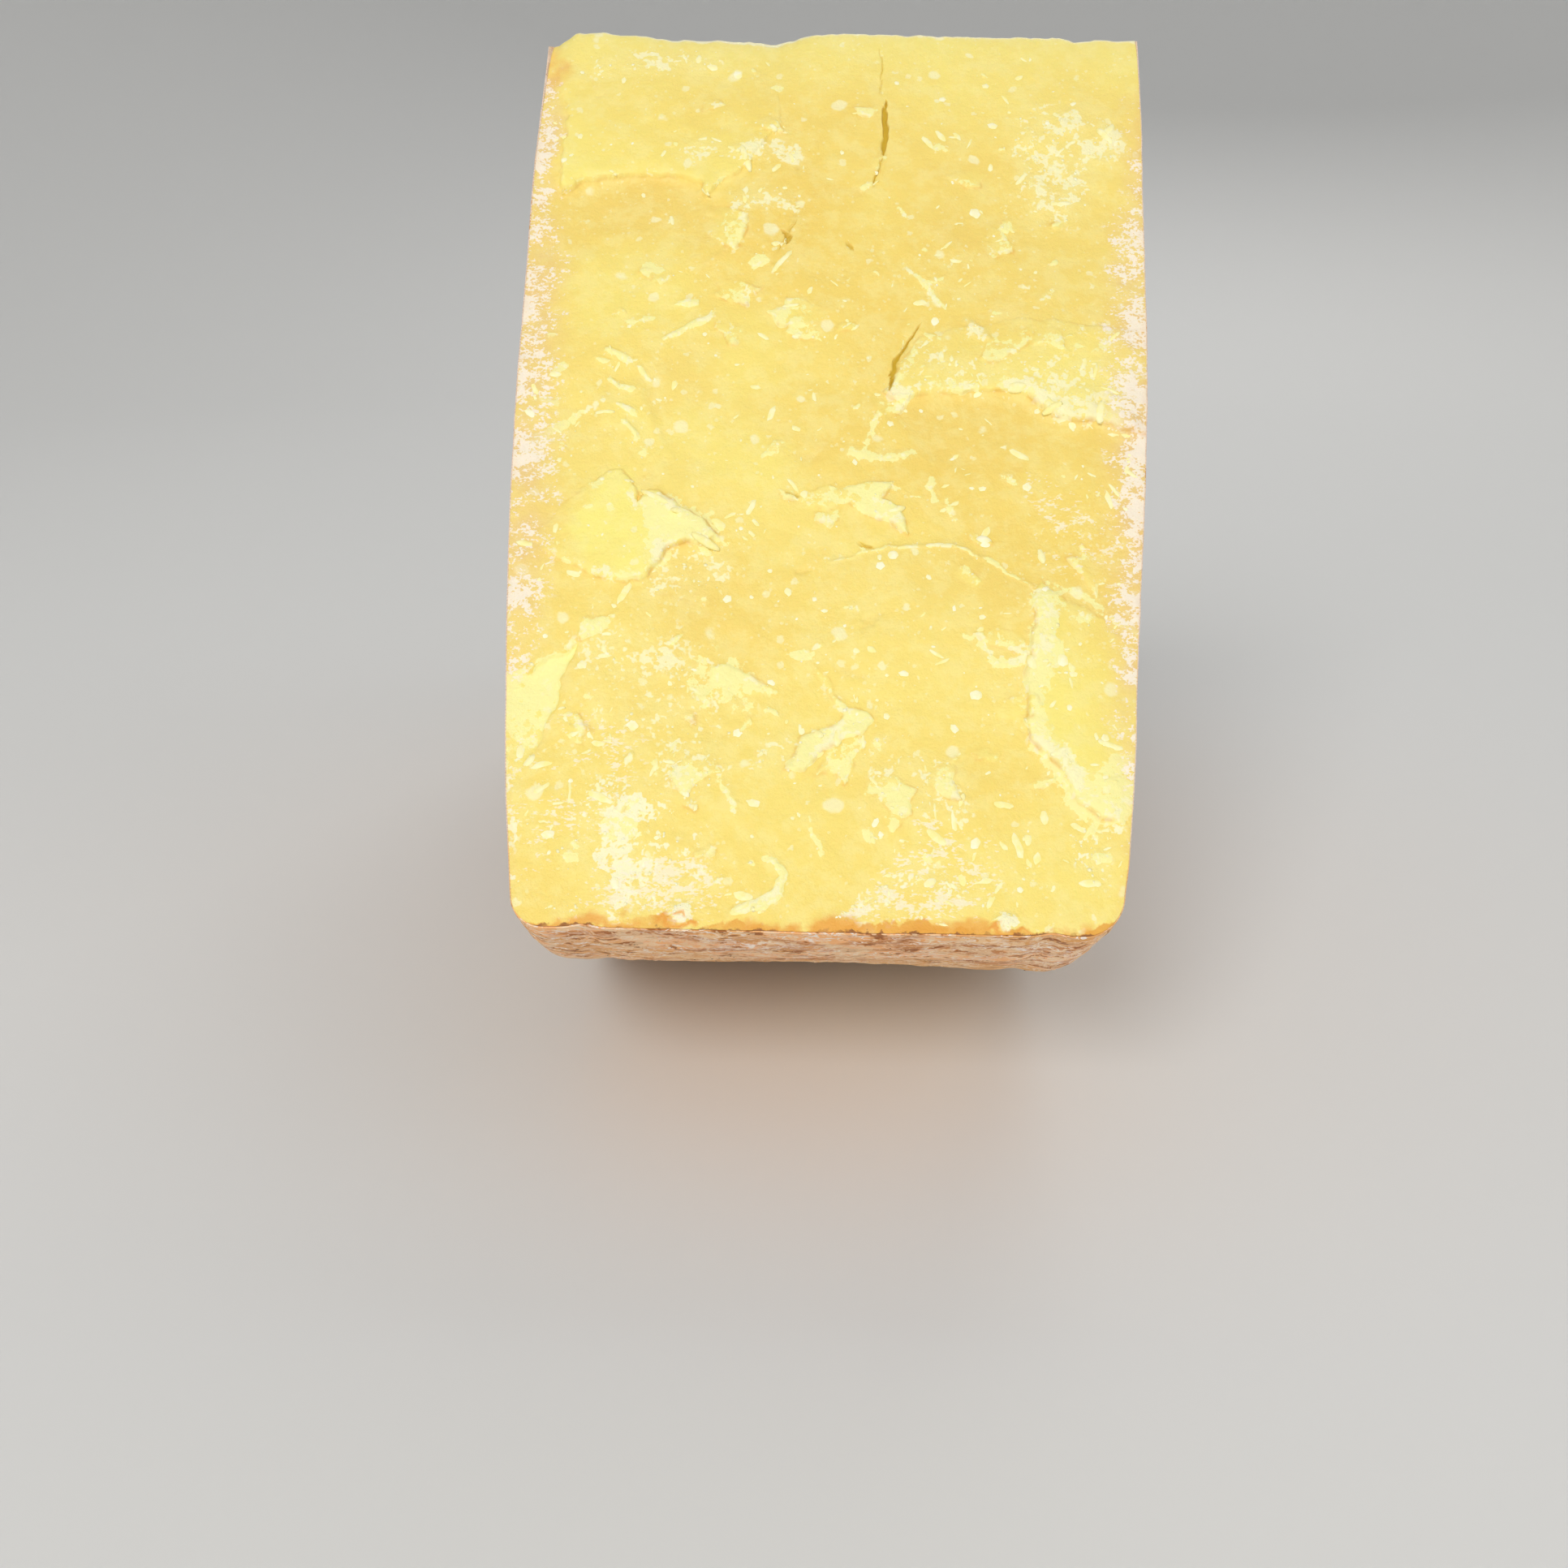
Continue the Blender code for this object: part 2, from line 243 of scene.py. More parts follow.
    def skin_shift(self, x: np.ndarray, radius: np.ndarray, angle: np.ndarray) -> tuple:
        """How far the skin's waves and grooves move it.

        Args:
            x: Place across the wheel.
            radius: Distance from the axis.
            angle: Turn round the axis, from straight down.

        Returns:
            The moves along x and along the radius.
        """
        height, cell, seed = self.wave
        place = np.column_stack([x, radius * np.sin(angle), radius * np.cos(angle)])
        wave = height * lattice_noise(place, cell, seed)
        inset, half_width, depth = self.groove
        from_groove = (self.half_thickness(radius, x) - np.abs(x) - inset) / half_width
        on_flank = smooth_step((self.radius - radius) / self.right_edge - 1)
        on_rim = smooth_step((radius - self.radius + self.border_fade) / self.border_fade)
        rim = wave * smooth_step(np.abs(angle) / self.rest_calm - 1) - depth * np.exp(-from_groove**2)
        return np.sign(x) * wave * on_flank, rim * on_rim

    def on_cut(self, x: np.ndarray, across: np.ndarray, lift: np.ndarray) -> np.ndarray:
        """Places on the two cut faces and the crest between them.

        Args:
            x: Place across the wheel.
            across: Distance from the crest, negative down the front face and positive down the back.
            lift: The height above the even face.

        Returns:
            Rows of x, y, z.
        """
        radius = self.outward(across, x)
        angle = self.half_sector * np.clip(across / np.maximum(radius, 1e-6), -1, 1)
        along, out = self.skin_shift(x, radius, angle)
        half = self.half_thickness(radius, x)
        near_side = smooth_step((np.abs(x) - half + self.border_fade) / self.border_fade)
        near_rim = smooth_step((radius - self.radius + self.border_fade) / self.border_fade)
        sine, cosine = math.sin(self.half_sector), math.cos(self.half_sector)
        normal = np.column_stack([cosine * across / np.maximum(radius, 1e-6), np.full(len(x), sine)])
        normal /= np.linalg.norm(normal, axis=1)[:, None]
        y = (across + np.sign(across) * out * near_rim) * sine + normal[:, 0] * lift
        z = self.axis_height - (radius + out * near_rim) * cosine + normal[:, 1] * lift
        return np.column_stack([x + along * near_side, y, z])


class Tint(Enum):
    """What a mark does to the paste's colour; each is also the name of a mesh attribute."""

    FRESH = "fresh"  # newly broken, pale and bright
    AMBER = "amber"  # smooth and darker; in hollows and along some step edges it is painted shade
    LEMON = "lemon"  # solid and very pale, as on a thin raised scrap; on a lip's step it is also a painted highlight
    CREAM = "cream"  # crumbly and whitish
    HAZE = "haze"  # a fine pinkish white veil
    POWDER = "powder"  # a white dust of crushed crystals
    BLOOM = "bloom"  # the pinkish white of the rind, rubbed on
    DEEP = "deep"  # the inside of a crack; also painted shade just outside a lip's edge
    RUST_AND_SHADE = "rust"  # a spot stained by the rind; also painted warm shade just outside a lip's edge


@dataclass(frozen=True)
class Mark:
    """A plate, hollow, crack, chip or stain of a cut face, in millimetres.

    A closed outline has no widths. An open path has half its width at each corner. The mark reaches
    its lift and its full tint at the ramp's end, or everywhere where it has no ramp. A lip is a
    whitish, crumbly border just inside the edge; it is brightest on the step itself, partly as a
    painted highlight, and it lays painted shade just outside the edge.
    """

    path: tuple
    lift: float = 0.0
    ramp: tuple = ()
    widths: tuple = ()
    soft: float = 0.36
    ragged: float = 0.8
    tints: tuple = ()
    lip: tuple = ()  # its strength and its reach

    @property
    def crisp(self) -> bool:
        """Whether its edge is a real step, which the mesh has to follow."""
        return abs(self.lift) >= 0.25 and self.soft <= 0.4

    def ramp_at(self, place: np.ndarray) -> np.ndarray:
        """How much of its lift and tint the mark has.

        Args:
            place: Rows of x and distance from the axis, in millimetres.

        Returns:
            The share for each row.
        """
        if not self.ramp:
            return np.ones(len(place))
        start, end = np.array(self.ramp, float)
        along = end - start
        return np.clip(((place - start) @ along) / (along @ along), 0, 1.15)

    def depth(self, place: np.ndarray) -> np.ndarray:
        """How far each place lies inside the mark.

        Args:
            place: Rows of x and distance from the axis, in millimetres.

        Returns:
            The depth for each row.
        """
        corners = np.array(self.path, float)
        if self.widths:
            return distance_in_band(place, corners, np.array(self.widths, float))
        return distance_in(place, corners)


@dataclass(frozen=True)
class Scoops:
    """The shallow bowls, side by side, in which hard cheese breaks."""

    rows: int = 7
    columns: int = 5
    stray: float = 0.4
    curve_radius: float = 420 * MM
    step: float = 0.3 * MM

    def height(self, place: np.ndarray, wheel: Wheel, seed: int) -> np.ndarray:
        """The height of the lowest bowl at each place, in metres.

        Args:
            place: Rows of x and distance from the axis, in metres.
            wheel: Gives the face's width.
            seed: Picks the bowls.

        Returns:
            The height for each row.
        """
        random = np.random.default_rng(seed)
        lowest = np.full(len(place), np.inf)
        left = wheel.left_half[0]
        width = left + wheel.right_half[0]
        for row, column in np.ndindex(self.rows, self.columns):
            jitter = random.uniform(-self.stray, self.stray, 2)
            centre = np.array([-left + (column + 0.5 + jitter[0]) * width / self.columns,
                               (row + 0.5 + jitter[1]) * wheel.radius / self.rows])
            bowl = ((place - centre) ** 2).sum(1) / (2 * self.curve_radius)
            lowest = np.minimum(lowest, bowl + random.uniform(0, self.step))
        return lowest


@dataclass
class CutFace:
    """One broken cut face: its marks, its scoops and the grain of its break."""

    marks: tuple
    seed: int
    wheel: Wheel = field(default_factory=Wheel)
    scoops: Scoops = field(default_factory=Scoops)
    wave: tuple = (0.9, 48)  # height and cell, in millimetres
    crest_calm: float = 16.0
    raggedness: tuple = ((7.0, 1.0), (2.6, 0.6), (1.2, 0.36))  # cell, and share of the mark's own
    lift_share: float = 0.62  # how much of a mark's lift is a sharp step
    border_calm: tuple = (5.0, 0.3)  # towards the border the steps sink to this share of their height
    grain: tuple = ((9.0, 0.18), (3.4, 0.13), (1.5, 0.07))
    crumble: tuple = ((2.4, 0.22), (1.3, 0.20))  # the same, where the paste is crumbly
    row_offsets: tuple = (-0.62, -0.17, 0.17, 0.62)
    row_step: float = 0.45
    reach: float = 4.0

    def stray(self, place: np.ndarray, amount: float) -> np.ndarray:
        """How far a mark's edge strays.

        Args:
            place: Rows of x and distance from the axis, in millimetres.
            amount: The mark's raggedness.

        Returns:
            The move for each row.
        """
        shift = np.zeros_like(place)
        for number, (cell, share) in enumerate(self.raggedness):
            for axis in (0, 1):
                noise = lattice_noise(place, cell, self.seed * 7 + 11 * number + axis)
                shift[:, axis] += amount * share * noise
        return shift

    def shares(self, mark: Mark, place: np.ndarray) -> tuple:
        """Where a mark reaches, and how fully.

        Args:
            mark: The mark.
            place: Rows of x and distance from the axis, in millimetres.

        Returns:
            The row numbers within its reach, its share there, the shares of the lip and of the crumbs
            in it, and the share of the shade just outside the edge.
        """
        corners = np.array(mark.path, float)
        margin = self.reach + mark.soft + max(mark.widths, default=0) + 1.6 * mark.ragged
        low, high = corners.min(0) - margin, corners.max(0) + margin
        near = np.flatnonzero(((place > low) & (place < high)).all(1))
        moved = place[near] + self.stray(place[near], mark.ragged)
        depth = mark.depth(moved)
        ramp = mark.ramp_at(moved)
        share = smooth_step(0.5 + depth / (2 * mark.soft)) * ramp
        reach = mark.lip[1] if mark.lip else 1.0
        lip = np.exp(-((depth / np.where(depth > 0, reach, 0.25)) ** 2)) * ramp
        inner = np.exp(-(((depth - 0.45 * reach) / (0.5 * reach)) ** 2)) * ramp
        return near, share, lip, inner, np.exp(-(((depth + 0.15) / 0.35) ** 2)) * ramp

    def relief(self, place: np.ndarray) -> tuple:
        """The height and the tints of the face at each place.

        Args:
            place: Rows of x and distance from the axis, in millimetres.

        Returns:
            The height in metres, and a dictionary of tint name to share.
        """
        height = np.zeros(len(place))
        tints = {tint.value: np.zeros(len(place)) for tint in Tint}
        side = (self.wheel.half_thickness(place[:, 1] * MM, place[:, 0]) / MM) - np.abs(place[:, 0])
        gap = np.minimum(side, self.wheel.radius / MM - place[:, 1])
        reach, least = self.border_calm
        calm = least + (1 - least) * smooth_step(gap / reach)
        for mark in self.marks:
            near, share, lip, inner, shade = self.shares(mark, place)
            height[near] += mark.lift * share * calm[near] * (self.lift_share if abs(mark.lift) > 0.6 else 1)
            found = [(tint, strength * share) for tint, strength in mark.tints]
            if mark.lip:
                strength = mark.lip[0]
                broken = np.clip(0.8 + 1.1 * lattice_noise(place[near], 4.3, self.seed + 60), 0, 1.4)
                dotted = np.clip(0.4 + lattice_noise(place[near], 1.4, self.seed + 61), 0, 1)
                # The lip: pale crumbs inside the edge with a painted highlight on the step itself, and
                # painted shade, in the deep and rust tints, just outside it.
                found += [(Tint.LEMON, np.clip(1.5 * strength * lip * broken - 0.1, 0, 1)),
                          (Tint.CREAM, 0.9 * strength * inner * broken),
                          (Tint.DEEP, 0.2 * shade * dotted * strength),
                          (Tint.RUST_AND_SHADE, 0.5 * shade * dotted * strength)]
            for tint, share in found:
                tints[tint.value][near] = np.maximum(tints[tint.value][near], share)
        tints["amber"] *= 1 - 0.8 * np.clip(tints["fresh"], 0, 1)
        height += self.wave[0] * lattice_noise(place, self.wave[1], self.seed + 3)
        height += self.scoops.height(place * MM, self.wheel, self.seed) / MM
        rough = 1 - 0.75 * np.clip(tints["amber"], 0, 1)
        for number, (cell, grain_height) in enumerate(self.grain):
            height += grain_height * rough * lattice_noise(place, cell, self.seed + 40 + number)
        crumbly = np.clip(tints["cream"] + tints["powder"] + 0.4 * tints["bloom"], 0, 1)
        for number, (cell, crumb_height) in enumerate(self.crumble):
            height += crumb_height * crumbly * lattice_noise(place, cell, self.seed + 50 + number)
        calm = smooth_step(place[:, 1] / self.crest_calm)
        return height * calm * MM, tints

    def edge_rows(self) -> np.ndarray:
        """The places where the mesh has to break.

        Returns:
            Rows of x and distance from the axis along both sides of every crisp step, in millimetres.
        """
        rows = []
        for mark in self.marks:
            if not mark.crisp:
                continue
            corners = np.array(mark.path, float)
            widths = np.array(mark.widths, float) if mark.widths else np.zeros(len(corners))
            if not mark.widths:
                corners = np.vstack([corners, corners[:1]])
                widths = np.zeros(len(corners))
            line, width = [], []
            for k in range(len(corners) - 1):
                count = max(int(np.linalg.norm(corners[k + 1] - corners[k]) / self.row_step), 1)
                share = np.arange(count)[:, None] / count
                line.append(corners[k] + share * (corners[k + 1] - corners[k]))
                width.append(widths[k] + share[:, 0] * (widths[k + 1] - widths[k]))
            line, width = np.concatenate(line), np.concatenate(width)
            if len(line) < 3:
                continue
            tangent = np.gradient(line, axis=0)
            tangent /= np.maximum(np.linalg.norm(tangent, axis=1), 1e-9)[:, None]
            normal = np.column_stack([-tangent[:, 1], tangent[:, 0]])
            sides = (-1, 1) if mark.widths else (1,)
            for side in sides:
                for offset in self.row_offsets:
                    goal = line + normal * (side * (width + offset))[:, None]
                    rows.append(self.unstray(goal, mark.ragged))
            if mark.widths:
                rows.append(self.unstray(line, mark.ragged))
        return np.concatenate(rows) if rows else np.zeros((0, 2))

    def unstray(self, goal: np.ndarray, amount: float) -> np.ndarray:
        """The inverse of straying.

        Args:
            goal: Rows of x and distance from the axis, in millimetres.
            amount: The mark's raggedness.

        Returns:
            The places that stray to the goals.
        """
        place = goal.copy()
        for _ in range(5):
            place = goal - self.stray(place, amount)
        return place


def ragged_oval(random: np.random.Generator, centre: np.ndarray, reach: float, stretch: float,
                corners: int) -> tuple:
    """The corners of a rough oval.

    Args:
        random: Draws its shape and its turn.
        centre: Its middle.
        reach: About half its width.
        stretch: How much longer than wide it is.
        corners: How many corners it has.

    Returns:
        The corners in order.
    """
    turns = np.linspace(0, 2 * math.pi, corners, endpoint=False) + random.uniform(-0.3, 0.3, corners)
    spread = reach * random.uniform(0.5, 1.3, corners)
    heading = random.normal(0, 0.8)
    along, aside = stretch * spread * np.cos(turns), spread * np.sin(turns) / stretch
    turned = np.column_stack([along * math.cos(heading) - aside * math.sin(heading),
                              along * math.sin(heading) + aside * math.cos(heading)])
    return tuple(map(tuple, centre + turned))


@dataclass(frozen=True)
class Chips:
    """Small scraps and scars that a seeded rule spreads over a cut face, in millimetres."""

    count: int
    seed: int
    reach: tuple = (0.5, 2.1)
    lift: tuple = (0.12, 0.3)
    corners: int = 8
    stretch: float = 1.5
    half_width: float = 60
    depth: tuple = (14, 212)

    def marks(self) -> tuple:
        """Draws the chips, most of them raised.

        Returns:
            Their marks.
        """
        random = np.random.default_rng(self.seed)
        made = []
        for _ in range(self.count):
            x, down = random.uniform(-self.half_width, self.half_width), random.uniform(*self.depth)
            centre = np.array([x, down])
            reach = self.reach[0] + (self.reach[1] - self.reach[0]) * random.random() ** 2.2
            path = ragged_oval(random, centre, reach, self.stretch, self.corners)
            raised = random.random() < 0.72
            lift = random.uniform(*self.lift) * (1 if raised else -1)
            pale = ((Tint.LEMON, random.uniform(0.5, 1.3)), (Tint.CREAM, random.uniform(0.2, 0.6)))
            tint = pale if raised else ((Tint.AMBER, 0.5),)
            made.append(Mark(path, lift, soft=0.4, ragged=0.4, tints=tint))
        return tuple(made)


@dataclass(frozen=True)
class Flakes:
    """Small plates that a seeded rule lifts at one edge, in millimetres."""

    count: int
    seed: int
    reach: tuple = (1.5, 5.5)
    lift: tuple = (0.3, 0.75)
    corners: int = 9
    stretch: float = 1.3
    half_width: float = 56
    depth: tuple = (22, 208)

    def marks(self) -> tuple:
        """Draws the flakes, most of them lifting at their lower edge.

        Returns:
            Their marks.
        """
        random = np.random.default_rng(self.seed)
        made = []
        for _ in range(self.count):
            centre = np.array([random.uniform(-self.half_width, self.half_width),
                               self.depth[0] + (self.depth[1] - self.depth[0]) * random.random() ** 0.8])
            reach = self.reach[0] + (self.reach[1] - self.reach[0]) * random.random() ** 1.8
            path = ragged_oval(random, centre, reach, self.stretch, self.corners)
            heading = random.normal(math.pi / 2, 1.0)
            step = 0.9 * reach * np.array([math.cos(heading), math.sin(heading)])
            tints = ((Tint.FRESH, random.uniform(0.4, 1.0)), (Tint.LEMON, random.uniform(0.3, 1.1)))
            made.append(Mark(path, random.uniform(*self.lift), (tuple(centre - step), tuple(centre + step)),
                             ragged=0.6, tints=tints, lip=(random.uniform(0.5, 0.85), 0.9)))
        return tuple(made)


@dataclass(frozen=True)
class LargeBreaks:
    """The large facets of the back cut face, from the top down, as rough ovals with a tilt each."""

    seed: int = 30
    count: int = 10
    corners: int = 9
    reach: tuple = (11, 25)
    lift: tuple = (1.1, 2.4)
    stretch: float = 1.35
    half_width: float = 46
    top: float = 24
    height: float = 175

    def marks(self) -> tuple:
        """Draws the facets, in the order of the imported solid's draws.

        Returns:
            Their marks.
        """
        random = np.random.default_rng(self.seed)
        even_turns = np.linspace(0, 2 * math.pi, self.corners, endpoint=False)
        made = []
        for number in range(self.count):
            down = self.top + self.height * (number + random.uniform(0.2, 0.8)) / self.count
            centre = np.array([random.uniform(-self.half_width, self.half_width), down])
            reach = random.uniform(*self.reach)
            turns = even_turns + random.uniform(-0.25, 0.25, self.corners)
            spread = reach * random.uniform(0.7, 1.2, self.corners)
            corners = np.stack([self.stretch * spread * np.cos(turns), spread * np.sin(turns)], axis=1)
            heading = random.uniform(0, 2 * math.pi)
            step = 0.9 * reach * np.array([math.cos(heading), math.sin(heading)])
            lift = random.choice([-1, 1]) * random.uniform(*self.lift)
            tints = ((Tint.FRESH, 0.9),) if lift > 0 else ((Tint.AMBER, 0.8),)
            made.append(Mark(tuple(map(tuple, centre + corners)), float(lift),
                             (tuple(centre - step), tuple(centre + step)), tints=tints))
        return tuple(made)


def plate(path: tuple, lift: float, ramp: tuple, fresh: float = 1.0, lip: tuple = (0.75, 1.1)) -> Mark:
    """A raised, newly broken plate."""
    return Mark(path, lift, ramp, tints=((Tint.FRESH, fresh),), lip=lip)


def scrap(path: tuple, lift: float, ramp: tuple, cream: float = 0.45) -> Mark:
    """A small pale plate."""
    tints = ((Tint.FRESH, 1.0), (Tint.LEMON, 1.3), (Tint.CREAM, 0.75 * cream))
    return Mark(path, 0.7 * lift, ramp, ragged=0.6, tints=tints, lip=(0.6, 0.9))


def hollow(path: tuple, lift: float, ramp: tuple, amber: float = 0.9) -> Mark:
    """A smooth hollow: darker amber paste, darkest at the ramp's end under its ledge as painted shade."""
    return Mark(path, lift, ramp, soft=2.4, ragged=1.2, tints=((Tint.AMBER, amber),))


def crack(path: tuple, widths: tuple, lift: float, deep: float = 1.0) -> Mark:
    """A split in the paste."""
    return Mark(path, lift, (), widths, 0.2, 0.7, ((Tint.DEEP, deep),))


def crumbs(path: tuple, strength: float, lift: float = 0.2, soft: float = 1.8) -> Mark:
    """A patch of whitish crumbs, a little proud of the face."""
    return Mark(path, lift, (), (), soft, 1.3, ((Tint.CREAM, strength),))


def streak(path: tuple, widths: tuple, strength: float, lift: float = 0.2) -> Mark:
    """A whitish ridge or scrape along a path."""
    tints = ((Tint.LEMON, 1.3 * strength), (Tint.CREAM, 0.55 * strength))
    return Mark(path, lift, (), widths, 0.4, 0.5, tints)


def stain(path: tuple, tint: Tint, strength: float, soft: float = 4.0) -> Mark:
    """A soft patch of colour alone."""
    return Mark(path, 0.0, (), (), soft, 2.4, ((tint, strength),))


